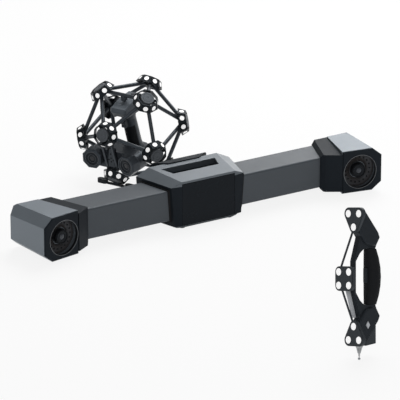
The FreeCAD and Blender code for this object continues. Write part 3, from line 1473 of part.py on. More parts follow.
def make_scan_cameras():
    for name, side in SIDES:
        solid_node(f"{name}_scan_camera", pod_shape(side), BODY_PLACE)
    lenses = [pod_lens(side) for name, side in SIDES]
    solid_node("scan_camera_lenses", Part.makeCompound(lenses), BODY_PLACE)


def make_projector():
    body = new_body("laser_projector", BODY_PLACE)
    outline = new_sketch(body, "XZ_Plane", "ProjectorOutline", BODY_FRONT)
    half = size("projector_half")
    low = size("projector_low")
    high = size("projector_high")
    draw_polygon(outline, rectangle(-half, half, low, high))
    pad(body, outline, size("projector_deep"), "ProjectorPad")
    front = -BODY_FRONT - size("projector_deep")
    rim = lambda edge: (runs_along(edge, Z_AXIS)
                        and near(edge.CenterOfMass.y, front))
    dress(body, "Chamfer", rim, half / 5, "ProjectorRim")
    holes = new_sketch(body, "XZ_Plane", "LaserHoles", -front)
    middle = (low + high) / 2
    pitch = size("laser_pitch")
    for across, up in ((0, middle + half), (-pitch, middle - half / 2),
                       (pitch, middle - half / 2), (0, middle - half),
                       (0, middle - size("laser_drop"))):
        draw_circle(holes, across, up, size("laser_hole"))
    pocket(body, holes, size("projector_deep") / 3, "LaserBores")


HANDLE_LOW = Vector(0, float(size("handle_low_y")), float(KEEL_TOP))
HANDLE_HIGH = Vector(0, float(size("handle_high_y")), float(size("handle_high_z")))


def handle_frame():
    """Frame along the handle: origin at its foot, Z up the handle, Y backwards."""
    up = (HANDLE_HIGH - HANDLE_LOW).normalize()
    return Placement(HANDLE_LOW, Rotation(X_AXIS, up.cross(X_AXIS), up, "ZXY"))


def handle_outline():
    """The handle's outside, lofted through oval sections."""
    sections = []
    flare = float(size("handle_flare"))
    foot = float(size("handle_foot_end"))
    swell = float(size("handle_swell"))
    for share, grow in ((0, flare), (foot, swell), (1 - foot, 1), (1, flare)):
        centre = HANDLE_LOW + (HANDLE_HIGH - HANDLE_LOW) * share
        oval = Part.Ellipse(centre, float(size("handle_half_depth")) * grow,
                            float(size("handle_half_width")) * grow)
        wire = Part.Wire([oval.toShape()])
        wire.rotate(centre, Z_AXIS, 90)
        sections.append(wire)
    return Part.makeLoft(sections, True, True)


def along_handle(low, high):
    """A block in the handle's own frame."""
    block = box(low, high)
    block.Placement = handle_frame()
    return block


def make_handle():
    outline = handle_outline()
    wide = 2 * float(size("handle_half_width"))
    deep = 2 * float(size("handle_half_depth"))
    front = along_handle((-wide, -deep, float(size("grip_low"))),
                         (wide, -float(size("grip_plane")), float(size("grip_high"))))
    half = float(size("trigger_half"))
    gap = float(KEY_GAP)
    low = float(size("trigger_low"))
    high = low + float(size("trigger_height"))
    back = float(size("trigger_front")) - float(size("trigger_deep"))
    room = along_handle((-half - gap, -deep, low - gap),
                        (half + gap, -back + float(size("trigger_travel")) + gap, high + gap))
    solid_node("scanner_grip", only_solid(outline.common(front)), BODY_PLACE)
    solid_node("scanner_handle", only_solid(outline.cut(front).cut(room)), BODY_PLACE)
    trigger = new_body("scanner_trigger", BODY_PLACE * handle_frame())
    side = new_sketch(trigger, "YZ_Plane", "TriggerSide")
    reach = -size("trigger_front")
    foot = size("trigger_low")
    top = foot + size("trigger_height")
    rear = reach + size("trigger_deep")
    toe = reach + size("trigger_toe")
    hollow = reach + size("trigger_hollow")
    draw_polygon(side, [(rear, foot), (rear, top), (reach + size("trigger_nose"), top),
                        (reach, top - size("trigger_tip")), (hollow, foot + size("trigger_heel")),
                        (toe, foot)])
    pad(trigger, side, size("trigger_half") * 2, "TriggerPad", both_ways=True)
    lip = lambda edge: (runs_along(edge, X_AXIS)
                        and edge.CenterOfMass.y < float(hollow + size("trigger_toe")))
    dress(trigger, "Fillet", lip, size("trigger_half") / 5, "TriggerLip")


def make_scanner_head():
    body = new_body("scanner_head", BODY_PLACE)
    profile = new_sketch(body, "YZ_Plane", "HeadProfile")
    nose = size("head_nose")
    tail = size("head_tail")
    top = size("head_top")
    low = size("handle_high_z")
    lip = size("head_lip")
    slope = size("head_slope")
    nape = low + size("head_nape_up")
    draw_polygon(profile, [(size("head_chin") - nose, low), (-nose, top - 2 * lip),
                           (size("head_brow") - nose, top - lip), (-slope, top),
                           (tail - size("head_crown"), top), (tail, top - lip),
                           (tail - size("head_nape"), nape), (tail - size("head_heel"), low)])
    pad(body, profile, size("head_half") * 2, "HeadPad", both_ways=True)
    sides = lambda edge: (near(abs(edge.CenterOfMass.x), size("head_half"))
                          and not near(edge.CenterOfMass.z, low))
    dress(body, "Chamfer", sides, size("head_half") / 7, "HeadEdges")
    well = new_sketch(body, "XY_Plane", "MenuWell", top)
    draw_circle(well, 0, size("menu_y"), size("menu_radius") + KEY_GAP)
    depth = size("menu_deep") + size("menu_travel") + KEY_GAP
    pocket(body, well, depth, "MenuBore")
    key = new_body("menu_button", BODY_PLACE)
    face = new_sketch(key, "XY_Plane", "MenuFace", top - size("menu_deep"))
    draw_circle(face, 0, size("menu_y"), size("menu_radius"))
    pad(key, face, size("menu_deep") + size("menu_proud"), "MenuPad")
    rim = lambda edge: near(edge.CenterOfMass.z, top + size("menu_proud"))
    dress(key, "Chamfer", rim, size("menu_proud") / 2, "MenuRim")


def to_body(point):
    """A point of the cage frame, in the body frame."""
    return Rotation(X_AXIS, float(size("body_tilt"))).multVec(point)


def make_posts():
    """Posts from the head up, and from the keel down, to two rods of the cage."""
    top = to_body((corner_point((-1, 0, 1)) + corner_point((1, 0, 1))) / 2)
    low = to_body((corner_point((-1, 0, -1)) + corner_point((1, 0, -1))) / 2)
    bar = float(size("fork_bar"))
    rod = float(size("rod_radius")) / math.cos(math.pi / ROD_SIDES)
    posts = []
    for middle, level in ((top, float(size("head_top"))), (low, float(BODY_LOW))):
        block = box((-bar, middle.y - bar, min(middle.z, level)),
                    (bar, middle.y + bar, max(middle.z, level)))
        block = block.cut(cylinder(rod, middle - X_AXIS * 2 * bar, middle + X_AXIS * 2 * bar))
        posts.append(only_solid(block))
    solid_node("cage_posts", Part.makeCompound(posts), BODY_PLACE)


def make_support_foot():
    """Flat bar with two rounded ends under the lowest front ring."""
    level = Placement(Vector(CAGE_PLACE.Base.x, CAGE_PLACE.Base.y, 0),
                      Rotation(Z_AXIS, float(size("scanner_turn"))))
    half = float(size("skid_half"))
    middle = -float(size("skid_forward"))
    deep = float(size("skid_depth")) / 2
    thick = float(size("skid_thick"))
    high = float(size("pad_height"))
    bar = box((-half + deep, middle - deep / 2, 0), (half - deep, middle + deep / 2, thick))
    pads = []
    for side in (-1, 1):
        outer = side * (half - deep)
        inner = side * (half - float(size("pad_length")) + deep)
        ends = [Part.makeCylinder(deep, high, Vector(across, middle, 0))
                for across in (outer, inner)]
        span = box((min(outer, inner), middle - deep, 0), (max(outer, inner), middle + deep, high))
        pads.append(ends[0].fuse([ends[1], span]).removeSplitter())
    cap = CAGE_PLACE * ring_frame(FORK_CORNERS[1])
    face = cap.multVec(Vector(0, 0, float(size("hub_high") + size("cap_thick"))))
    face = level.inverse().multVec(face)
    normal = level.inverse().Rotation.multVec(cap.Rotation.multVec(Z_AXIS))
    reach = deep / 2 - float(size("skid_neck"))
    neck = box((-deep, middle - reach, thick), (deep, middle + reach, 4 * thick))
    neck = trimmed(neck, face, face + X_AXIS, face + normal.cross(X_AXIS), face + normal)
    foot = only_solid(bar.fuse(pads + [neck]))
    solid_node("support_foot", foot, level)


def make_tail_socket():
    back = float(size("keel_back"))
    proud = float(size("tail_socket_proud"))
    radius = float(size("tail_socket_radius"))
    middle = (float(BODY_LOW) + float(KEEL_TOP)) / 2
    start = Vector(0, back, middle)
    sleeve = cylinder(radius, start, start + Y_AXIS * proud)
    depth = float(size("socket_mouth"))
    mouth = cylinder(size("tail_socket_bore"), start + Y_AXIS * (proud - depth),
                     start + Y_AXIS * proud)
    solid_node("scanner_socket", sleeve.cut(mouth), BODY_PLACE)


make_scanner_body()
make_scan_cameras()
make_projector()
make_handle()
make_scanner_head()
make_posts()
make_support_foot()
make_tail_socket()
solid_node("front_fork", fork_shape(), CAGE_PLACE)

# Touch probe, in its own frame: tip at the origin, Z up its length, its marker plates
# look along -Y. Heights named "up" are taken from the middle of the probe.
MIDDLE = size("probe_middle")
ARM_HALF = size("arm_half_width")
WEB_HALF = size("web_half_width")
PLATE_BACK = size("plate_back")
PLATE_THICK = size("marker_plate_thick")
TIP_RADIUS = size("tip_radius")


def probe_place():
    """The probe stands on its tip and leans back."""
    turn = (Rotation(Z_AXIS, float(size("probe_turn")))
            * Rotation(X_AXIS, -float(size("probe_lean")))
            * Rotation(Z_AXIS, float(size("probe_spin"))))
    ball = Vector(0, 0, float(TIP_RADIUS))
    lift = float(TIP_RADIUS) - turn.multVec(ball).z
    return Placement(Vector(float(size("probe_x")), float(size("probe_y")), lift), turn)


PROBE_PLACE = probe_place()


def both_ways_up(points):
    """Points given for the upper half, then their mirror images below the middle."""
    upper = [(along, MIDDLE + up) for along, up in points]
    lower = [(along, MIDDLE - up) for along, up in reversed(points)]
    return upper + lower


def outer_half():
    """Outside of the frame above the middle, from the front web to the waist."""
    return [(size("web_foot"), size("opening_straight")),
            (size("web_head"), size("arm_shoulder")),
            (PLATE_BACK, size("arm_shoulder")),
            (PLATE_BACK, size("arm_end")),
            (-PLATE_BACK / 2, size("arm_end")),
            (size("arm_back"), size("arm_shoulder")),
            (size("arm_elbow"), size("arm_elbow_up")),
            (size("waist_back"), size("waist_up")),
            (size("core_back"), size("waist_up") / 2)]


def bridge_ends():
    """Lower and upper end of the block that carries the middle plate."""
    middle = MIDDLE + size("square_shift")
    reach = size("square_half_up") + size("square_round") * float(size("bridge_round"))
    return middle - reach, middle + reach


def bridge_outline():
    low, high = bridge_ends()
    return rectangle(size("square_front") + PLATE_THICK,
                     size("opening_front") - size("bridge_lap"), low, high)


def opening_half():
    """Edge of the hand opening above the middle."""
    tip = size("opening_tip")
    front = size("opening_front")
    straight = size("opening_straight")
    waist = size("waist_up")
    swell = (straight + waist) / 2 + size("opening_swell")
    return [(front, straight), (front / 4, swell), (tip, waist),
            (size("core_front"), waist)]


def make_probe_frame():
    body = new_body("probe_frame", PROBE_PLACE)
    ring = new_sketch(body, "YZ_Plane", "FrameOutline")
    draw_polygon(ring, both_ways_up(outer_half()))
    draw_polygon(ring, both_ways_up(opening_half()))
    pad(body, ring, WEB_HALF * 2, "FramePad", both_ways=True)
    arms = new_sketch(body, "YZ_Plane", "ArmOutlines")
    waist = size("waist_up")
    outline = [(PLATE_BACK, size("arm_shoulder") - size("arm_lap")),
               (PLATE_BACK, size("arm_end")), (-PLATE_BACK / 2, size("arm_end")),
               (size("arm_back"), size("arm_shoulder")),
               (size("arm_elbow"), size("arm_elbow_up")),
               (size("waist_back"), waist + size("arm_neck")),
               (size("core_front") - size("arm_throat_in"), waist + size("arm_throat")),
               (size("opening_tip"), waist + size("arm_tip"))]
    for way in (1, -1):
        draw_polygon(arms, [(along, MIDDLE + up * way) for along, up in outline])
    pad(body, arms, ARM_HALF * 2, "ArmPad", both_ways=True)
    bridge = new_sketch(body, "YZ_Plane", "BridgeOutline")
    draw_polygon(bridge, bridge_outline())
    pad(body, bridge, WEB_HALF * 2, "BridgePad", both_ways=True)
    sides = lambda edge: near(abs(edge.CenterOfMass.x), ARM_HALF)
    dress(body, "Chamfer", sides, ARM_HALF / 5, "ArmEdges")
    well = new_sketch(body, "YZ_Plane", "SideKeyWell", ARM_HALF)
    draw_polygon(well, side_key_outline(size("side_key_room_y"), size("side_key_room_up")))
    depth = size("side_key_deep") + size("side_key_travel") + KEY_GAP
    pocket(body, well, depth, "SideKeyBore")


def side_key_outline(room_along=0, room_up=0):
    """Rhombus of the side key, seen from the side, or of the well round it."""
    along = size("side_key_y")
    up = MIDDLE + size("side_key_up")
    wide = size("side_key_half_y") + room_along
    tall = size("side_key_half_up") + room_up
    return [(along - wide, up), (along, up - tall), (along + wide, up), (along, up + tall)]


def make_side_key():
    key = new_body("side_key", PROBE_PLACE)
    face = new_sketch(key, "YZ_Plane", "SideKeyFace", ARM_HALF - size("side_key_deep"))
    draw_polygon(face, side_key_outline())
    pad(key, face, size("side_key_deep") + size("side_key_proud"), "SideKeyPad")
    outer = ARM_HALF + size("side_key_proud")
    dress(key, "Chamfer", lambda edge: near(edge.CenterOfMass.x, outer),
          size("side_key_proud") / 2, "SideKeyRim")


def rounded_plate(corners, radius, front):
    """A plate whose outline is rounded about its corners, its face at front."""
    points = [Vector(float(across), 0, float(up)) for across, up in corners]
    outline = Part.makePolygon(points + points[:1]).makeOffset2D(float(radius))
    face = Part.Face(outline)
    face.translate(Vector(0, float(front), 0))
    plate = face.extrude(Vector(0, float(PLATE_THICK), 0))
    rim = [edge for edge in plate.Edges
           if all(near(vertex.Point.y, front) for vertex in edge.Vertexes)]
    return plate.makeChamfer(float(PLATE_THICK) / 9, rim)


def triangle_corners(way):
    """Places of the three markers on an outer plate, way 1 for the upper one."""
    half = float(size("triangle_half"))
    far = float(MIDDLE) + way * float(size("triangle_far"))
    near_end = float(MIDDLE) + way * float(size("triangle_near"))
    return [(-half, far), (half, far), (0, near_end)]


def square_corners(half_across, half_up):
    middle = float(MIDDLE) + float(size("square_shift"))
    return [(-half_across, middle - half_up), (half_across, middle - half_up),
            (half_across, middle + half_up), (-half_across, middle + half_up)]


def make_marker_plates():
    outer_front = PLATE_BACK - PLATE_THICK
    plates = {
        "upper_marker_plate": (triangle_corners(1), size("marker_plate_round"), outer_front),
        "middle_marker_plate": (square_corners(float(size("square_half")),
                                               float(size("square_half_up"))),
                                size("square_round"), size("square_front")),
        "lower_marker_plate": (triangle_corners(-1), size("marker_plate_round"), outer_front),
    }
    radius = float(size("probe_dot_radius"))
    dot = tapered_prism(2 * DOT_SIDES, 0, radius, float(size("dot_thick")), radius)
    dots = []
    shapes = []
    for label, (corners, radius, front) in plates.items():
        shapes.append(rounded_plate(corners, radius, front))
        solid_node(label, shapes[-1], PROBE_PLACE)
        for across, up in corners:
            seat = Placement(Vector(float(across), float(front), float(up)),
                             Rotation(X_AXIS, 90))
            dots.append(put(dot, seat))
    solid_node("probe_markers", Part.makeCompound(dots), PROBE_PLACE)
    return shapes


def strut_ends():
    """How far up and back a strut starts and ends, from the middle of the probe."""
    inner = (float(size("strut_start")), float(size("square_front") + PLATE_THICK / 2))
    outer = (float(size("arm_shoulder") + PLATE_THICK), float(PLATE_BACK - PLATE_THICK / 2))
    return inner, outer


def make_struts(plates):
    """Thin struts from the outer plates to the middle one."""
    (start_up, start_y), (end_up, end_y) = strut_ends()
    struts = []
    for way in (1, -1):
        start = Vector(float(size("strut_out_x")), start_y, float(MIDDLE) + way * start_up)
        end = Vector(float(size("strut_in_x")), end_y, float(MIDDLE) + way * end_up)
        strut = cylinder(size("strut_radius"), start, end)
        for plate in plates:
            strut = strut.cut(plate)
        struts.append(only_solid(strut))
    solid_node("plate_struts", Part.makeCompound(struts), PROBE_PLACE)


def strip_edges(up):
    """Front and back edge of the light strip at a height below the middle."""
    (start_up, start_y), (end_up, end_y) = strut_ends()
    strut = start_y + (end_y - start_y) * (up - start_up) / (end_up - start_up)
    foot = float(size("web_foot"))
    straight = float(size("opening_straight"))
    slope = (float(size("web_head")) - foot) / (float(size("arm_shoulder")) - straight)
    web = foot + max(0, up - straight) * slope
    return strut + float(size("strip_behind")), web


def make_light_strip():
    """Pale strip that closes the window between the lower strut and the web."""
    top = float(MIDDLE - bridge_ends()[0])
    bend = float(size("opening_straight"))
    foot = float(size("arm_shoulder")) - float(size("strip_short"))
    edges = [(level, strip_edges(level)) for level in (top, bend, foot)]
    half = float(WEB_HALF)
    outline = [(front, level) for level, (front, back) in edges]
    outline += [(back, level) for level, (front, back) in reversed(edges)]
    points = [Vector(-half, along, float(MIDDLE) - level) for along, level in outline]
    face = Part.Face(Part.makePolygon(points + points[:1]))
    solid_node("light_strip", face.extrude(X_AXIS * float(size("strip_thick"))), PROBE_PLACE)


def grip_section(share):
    """Round section of the grip, at a share of the way from its middle to its upper end."""
    swell = 1 - share * share
    radius = float(size("probe_grip_end")
                   + (size("probe_grip_radius") - size("probe_grip_end")) * swell)
    along = float(size("probe_grip_y") + size("probe_grip_bow") * swell)
    up = float(MIDDLE + (size("waist_up") - SEAT_GAP) * share)
    return Part.Wire(Part.makeCircle(radius, Vector(0, along, up)))


def make_probe_grip():
    """Rubber grip over the frame's core, thickest in its middle and bowed backwards."""
    steps = int(float(size("probe_grip_steps")))
    shares = [2 * step / steps - 1 for step in range(steps + 1)]
    grip = Part.makeLoft([grip_section(share) for share in shares], True, True)
    core = box((-float(WEB_HALF), float(size("core_front")), 0),
               (float(WEB_HALF), float(size("core_back")), 2 * float(MIDDLE)))
    grip = grip.cut(core)
    half = float(size("finger_key_half"))
    key_low = float(MIDDLE + size("finger_key_low"))
    key_high = key_low + float(size("finger_key_height"))
    front = float(size("finger_key_front"))
    back = front + float(size("finger_key_deep"))
    gap = float(KEY_GAP)
    room = box((-half - gap, 0, key_low - gap),
               (half + gap, back + float(size("finger_key_travel")) + gap, key_high + gap))
    solid_node("probe_grip", only_solid(grip.cut(room)), PROBE_PLACE)
    key = new_body("finger_button", PROBE_PLACE)
    outline = new_sketch(key, "XZ_Plane", "FingerKeyFace", -size("finger_key_front"))
    wide = size("finger_key_half")
    foot = MIDDLE + size("finger_key_low")
    draw_polygon(outline, rectangle(-wide, wide, foot, foot + size("finger_key_height")))
    pad(key, outline, size("finger_key_deep"), "FingerKeyPad", reverse=True)
    rim = lambda edge: near(edge.CenterOfMass.y, front)
    dress(key, "Fillet", rim, wide / 4, "FingerKeyRim")


def make_battery():
    """Battery pack on the slope of the lower arm."""
    rise = ((float(size("arm_end")) - float(size("arm_shoulder")))
            / (float(size("arm_back")) + float(PLATE_BACK) / 2))
    back = float(size("battery_back"))
    front = float(size("holder_radius") + SEAT_GAP)
    slope_up = lambda along: (float(MIDDLE) - float(size("arm_shoulder"))
                              - (float(size("arm_back")) - along) * rise)
    low = float(MIDDLE) - float(size("battery_end"))
    corners = [(front, slope_up(front)), (back, slope_up(back)),
               (back, low + float(size("battery_cut"))),
               (front + float(size("battery_lean")), low)]
    half = float(size("battery_half_width"))
    points = [Vector(-half, along, up) for along, up in corners]
    block = Part.Face(Part.makePolygon(points + points[:1])).extrude(X_AXIS * 2 * half)
    solid_node("battery_pack", block, PROBE_PLACE)


def make_stylus():
    """Holder, stylus and ball tip on the probe's axis."""
    top = MIDDLE - size("arm_end")
    radius = size("holder_radius")
    tip = size("holder_tip_radius")
    bore = size("stylus_radius")
    low = size("holder_tip_z")
    holder = new_body("stylus_holder", PROBE_PLACE)
    profile = new_sketch(holder, "XZ_Plane", "HolderProfile")
    seat = low + size("stylus_depth")
    draw_polygon(profile, [(bore, low), (tip, low), (tip, low + size("holder_edge")),
                           (radius, top - size("holder_ring")), (radius, top), (0, top),
                           (0, seat), (bore, seat)])
    revolve(holder, profile, "V_Axis", "HolderTurn")
    stylus = new_body("stylus", PROBE_PLACE)
    shaft = new_sketch(stylus, "XZ_Plane", "StylusProfile")
    foot = size("stylus_foot")
    neck = size("stylus_neck")
    draw_polygon(shaft, [(0, foot), (neck, foot), (neck, foot + bore),
                         (bore, foot + bore * 2), (bore, seat), (0, seat)])
    revolve(stylus, shaft, "V_Axis", "StylusTurn")
    reach = float(TIP_RADIUS)
    ball = Part.makeSphere(reach, Vector(0, 0, reach))
    flat = box((-reach, -reach, float(foot)), (reach, reach, 2 * reach))
    solid_node("stylus_tip", only_solid(ball.cut(flat)), PROBE_PLACE)


def make_probe_screws():
    """Screws on the left side of the arms."""
    heads = []
    for place, way in (("arm", 1), ("elbow", 1), ("waist", 1), ("arm", -1), ("waist", -1)):
        along = float(size(f"{place}_screw_y"))
        up = float(MIDDLE) + way * float(size(f"{place}_screw_up"))
        heads.append(screw_head(Vector(-float(ARM_HALF), along, up), -X_AXIS))
    solid_node("probe_screws", Part.makeCompound(heads), PROBE_PLACE)


make_probe_frame()
make_side_key()
make_struts(make_marker_plates())
make_light_strip()
make_probe_grip()
make_battery()
make_stylus()
make_probe_screws()


def write_parts():
    """Check every object, then write each sub-part to its own file."""
    doc.recompute()
    for thing in doc.Objects:
        if "Invalid" in thing.State or "Error" in thing.State:
            raise RuntimeError(f"{thing.Name} failed: {thing.State}")
    os.makedirs("parts", exist_ok=True)
    for thing in PARTS:
        shape = thing.Shape
        if shape.isNull() or not shape.isValid() or not shape.Solids:
            raise RuntimeError(f"{thing.Label} has no valid shape")
        shape.exportStep(f"parts/{thing.Label}.step")


write_parts()
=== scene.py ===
import math

import bmesh
import bpy
from bpy.props import FloatProperty, FloatVectorProperty, IntProperty, PointerProperty
from mathutils import Matrix, Vector


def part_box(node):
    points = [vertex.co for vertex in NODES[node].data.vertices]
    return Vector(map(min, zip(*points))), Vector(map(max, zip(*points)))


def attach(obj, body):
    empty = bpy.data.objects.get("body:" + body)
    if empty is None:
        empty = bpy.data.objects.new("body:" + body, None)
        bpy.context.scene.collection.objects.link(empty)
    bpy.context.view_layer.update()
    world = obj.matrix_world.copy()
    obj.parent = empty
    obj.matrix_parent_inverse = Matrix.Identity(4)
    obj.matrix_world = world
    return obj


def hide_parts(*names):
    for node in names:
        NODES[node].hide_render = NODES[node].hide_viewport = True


bl_info = {
    "name": "Tracking scanner set",
    "version": (1, 0, 0),
    "blender": (4, 5, 0),
    "location": "View3D > Sidebar > Scanner set",
    "description": "Looks of a tracker bar, a scanner in its marker cage and a touch probe",
    "category": "Object",
}

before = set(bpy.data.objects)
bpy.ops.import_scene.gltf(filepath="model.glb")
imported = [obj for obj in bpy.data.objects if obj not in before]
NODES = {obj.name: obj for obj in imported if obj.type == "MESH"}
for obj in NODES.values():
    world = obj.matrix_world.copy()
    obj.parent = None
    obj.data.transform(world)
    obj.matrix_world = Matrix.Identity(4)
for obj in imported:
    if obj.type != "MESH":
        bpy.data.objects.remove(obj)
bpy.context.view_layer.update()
ROOT = "instruments"
MM = 0.001
# Vertices closer than this are one vertex
MERGE = MM / 1000
# Edges sharper than this many degrees are rounded
SHARP = 18


# Places that the pieces share, in metres and degrees

def box_centre(node):
    """Middle of the box round a CAD piece."""
    low, high = (Vector(corner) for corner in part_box(node))
    return (low + high) / 2


def facing(point, direction):
    """A frame at a point with its Z axis along a direction."""
    turn = Vector(direction).to_track_quat("Z", "Y")
    return Matrix.Translation(point) @ turn.to_matrix().to_4x4()


def turned_by(*turns):
    """A rotation from pairs of angle and axis, the first one outermost."""
    matrix = Matrix.Identity(4)
    for angle, axis in turns:
        matrix = matrix @ Matrix.Rotation(math.radians(angle), 4, axis)
    return matrix


def on_circle(count, radius, height, start=0):
    """Places on a circle round the Z axis, its radius and height in millimetres."""
    places = []
    for index in range(count):
        angle = math.radians(start + 360 * index / count)
        spot = Vector((radius * math.cos(angle), radius * math.sin(angle), height))
        places.append(Matrix.Translation(spot * MM))
    return places


LENS_CENTRE = Vector((439.3, -89.32, 64)) * MM
LENS_TOE_IN = 10.3
SCANNER_TURN = turned_by((-64.9, "Z"), (5.9, "X"))
SCAN_LENS_CENTRE = Vector((52.5, -119, -44.5)) * MM
SCAN_LENS_TOE_IN = 8
PROBE_FOOT = Vector((-167, -981, 0.21)) * MM
PROBE_TURN = turned_by((-31.9, "Z"), (-20.9, "X"), (-49.5, "Z"))
PROBE_MATRIX = Matrix.Translation(PROBE_FOOT) @ PROBE_TURN
# The heads of the screws look away from these points
TRACKER_MIDDLE = box_centre("beam_tube")
PROBE_MIDDLE = PROBE_MATRIX @ Vector((0, 0.02, 0.1927))


def lens_matrix(side):
    """Frame of a tracker lens: Z out of the lens, its origin on the bezel's face."""
    centre = Vector((side * LENS_CENTRE.x, LENS_CENTRE.y, LENS_CENTRE.z))
    angle = math.radians(LENS_TOE_IN)
    return facing(centre, (-side * math.sin(angle), -math.cos(angle), 0))


# Reading the CAD pieces

def in_order(parts):
    """Parts of a mesh by their number, so that every run reads them alike."""
    return sorted(parts, key=lambda part: part.index)


def solids(node):
    """The vertices and faces of each separate solid of a CAD piece."""
    mesh = bmesh.new()
    mesh.from_mesh(NODES[node].data)
    bmesh.ops.remove_doubles(mesh, verts=mesh.verts, dist=MERGE)
    mesh.verts.index_update()
    mesh.faces.index_update()
    seen = set()
    found = []
    for first in mesh.verts:
        if first in seen:
            continue
        group = {first}
        edge = {first}
        while edge:
            near = {link.other_vert(vert) for vert in edge for link in vert.link_edges}
            edge = near - group
            group |= edge
        seen |= group
        faces = {face for vert in group for face in vert.link_faces}
        points = [vert.co.copy() for vert in in_order(group)]
        flats = [(face.calc_area(), face.normal.copy()) for face in in_order(faces)]
        found.append((points, flats))
    mesh.free()
    return found


def radius_about(points, middle, axis):
    """Greatest distance of the points from an axis through their middle."""
    return max((point - middle - axis * (point - middle).dot(axis)).length for point in points)


def seats(node, away_from):
    """Frames on the seats of a CAD piece's flat round solids, and their radius and height."""
    found = []
    for points, flats in solids(node):
        middle = sum(points, Vector()) / len(points)
        totals = {}
        for area, normal in flats:
            key = tuple(round(abs(value), 2) for value in normal)
            totals.setdefault(key, [0, normal])[0] += area
        axis = max(totals.values(), key=lambda total: total[0])[1]
        if (middle - away_from).dot(axis) < 0:
            axis = -axis
        levels = [(point - middle).dot(axis) for point in points]
        found.append((facing(middle + axis * min(levels), axis),
                      radius_about(points, middle, axis), max(levels) - min(levels)))
    places = [place for place, *rest in found]
    return places, *found[0][1:]


def rods(node):
    """Both ends and the radius of each straight bar in a CAD piece."""
    found = []
    for points, flats in solids(node):
        middle = sum(points, Vector()) / len(points)
        far = max(points, key=lambda point: (point - middle).length)
        one = [point for point in points if (point - middle).dot(far - middle) > 0]
        other = [point for point in points if (point - middle).dot(far - middle) <= 0]
        end, start = (sum(group, Vector()) / len(group) for group in (one, other))
        axis = (end - start).normalized()
        found.append((start, end, radius_about(points, middle, axis)))
    return found


# Modelling

def linked(name, data):
    """A new object in the scene."""
    piece = bpy.data.objects.new(name, data)
    bpy.context.scene.collection.objects.link(piece)
    return piece


def only(piece):
    """Selects one object and nothing else."""
    bpy.ops.object.select_all(action="DESELECT")
    piece.select_set(True)
    bpy.context.view_layer.objects.active = piece


def edit(piece):
    """Opens a piece in edit mode with nothing selected."""
    only(piece)
    bpy.ops.object.mode_set(mode="EDIT")
    bpy.ops.mesh.select_mode(type="FACE")
    bpy.ops.mesh.select_all(action="DESELECT")


def leave():
    """Goes back to object mode."""
    bpy.ops.object.mode_set(mode="OBJECT")


def choose(piece, kind, test):
    """Selects the faces or edges of the open piece that pass a test."""
    mesh = bmesh.from_edit_mesh(piece.data)
    for part in getattr(mesh, kind):
        part.select = bool(test(part))
    mesh.select_flush_mode()
    bmesh.update_edit_mesh(piece.data)


def face_outwards():
    """Turns the faces of the open piece outwards."""
    bpy.ops.mesh.select_all(action="SELECT")
    bpy.ops.mesh.normals_make_consistent(inside=False)


def smooth(piece, angle=35):
    """Smooths a piece's shading across edges up to an angle in degrees."""
    only(piece)
    bpy.ops.object.shade_smooth_by_angle(angle=math.radians(angle))


def bevelled(piece, **settings):
    """Adds a bevel to a piece and applies it."""
    only(piece)
    modifier = piece.modifiers.new("Bevel", "BEVEL")
    for name, value in settings.items():
        setattr(modifier, name, value)
    bpy.ops.object.modifier_apply(modifier=modifier.name)


def primitive(adder, name, **settings):
    """Adds a primitive to an empty selection and names it."""
    bpy.ops.object.select_all(action="DESELECT")
    adder(**settings)
    piece = bpy.context.active_object
    piece.name = name
    return piece


def scaled(radius, height, *shares):
    """A profile from its steps' shares of a radius and a height."""
    return [(radius * across, height * up) for across, up in shares]


def mm(*steps):
    """A profile from its steps' radius and height in millimetres."""
    return scaled(MM, MM, *steps)


def turned(name, profile, sides=48):
    """A closed piece about the Z axis, drawn out of one disc through radius and height."""
    (radius, height), *steps = profile
    piece = primitive(bpy.ops.mesh.primitive_circle_add, name, vertices=sides, radius=radius,
                      fill_type="NGON")
    bpy.ops.object.mode_set(mode="EDIT")
    bpy.ops.mesh.select_all(action="SELECT")
    bpy.ops.transform.translate(value=(0, 0, height))
    for next_radius, next_height in steps:
        move = {"value": (0, 0, next_height - height)}
        bpy.ops.mesh.extrude_region_move(TRANSFORM_OT_translate=move)
        scale = next_radius / radius
        bpy.ops.transform.resize(value=(scale, scale, 1), center_override=(0, 0, next_height))
        radius, height = next_radius, next_height
    face_outwards()
    leave()
    smooth(piece)
    return piece


def is_disc(face):
    """Whether a face of a turned piece is the disc at one of its ends."""
    return len(face.verts) > 8


def open_ends(piece):
    """Opens a turned piece in edit mode and takes off the discs at its ends."""
    edit(piece)
    choose(piece, "faces", is_disc)
    bpy.ops.mesh.delete(type="FACE")


def pierce(piece):
    """Makes a ring of a turned piece: both its mouths are joined through its middle."""
    open_ends(piece)
    choose(piece, "edges", lambda edge: edge.is_boundary)
    bpy.ops.mesh.bridge_edge_loops()
    face_outwards()
    leave()


def moved(piece, matrix):
    """Puts a piece's place into its mesh."""
    piece.data.transform(matrix)
    piece.data.update()
    return piece


def joined(name, pieces):
    """Several pieces as one object."""
    only(pieces[0])
    for piece in pieces:
        piece.select_set(True)
    bpy.ops.object.join()
    pieces[0].name = name
    return pieces[0]


def repeated(name, pattern, places):
    """Copies of one modelled piece, each with its own mesh, joined into one object."""
    copies = [moved(linked(name, pattern.data.copy()), place) for place in places]
    bpy.data.objects.remove(pattern)
    return joined(name, copies)


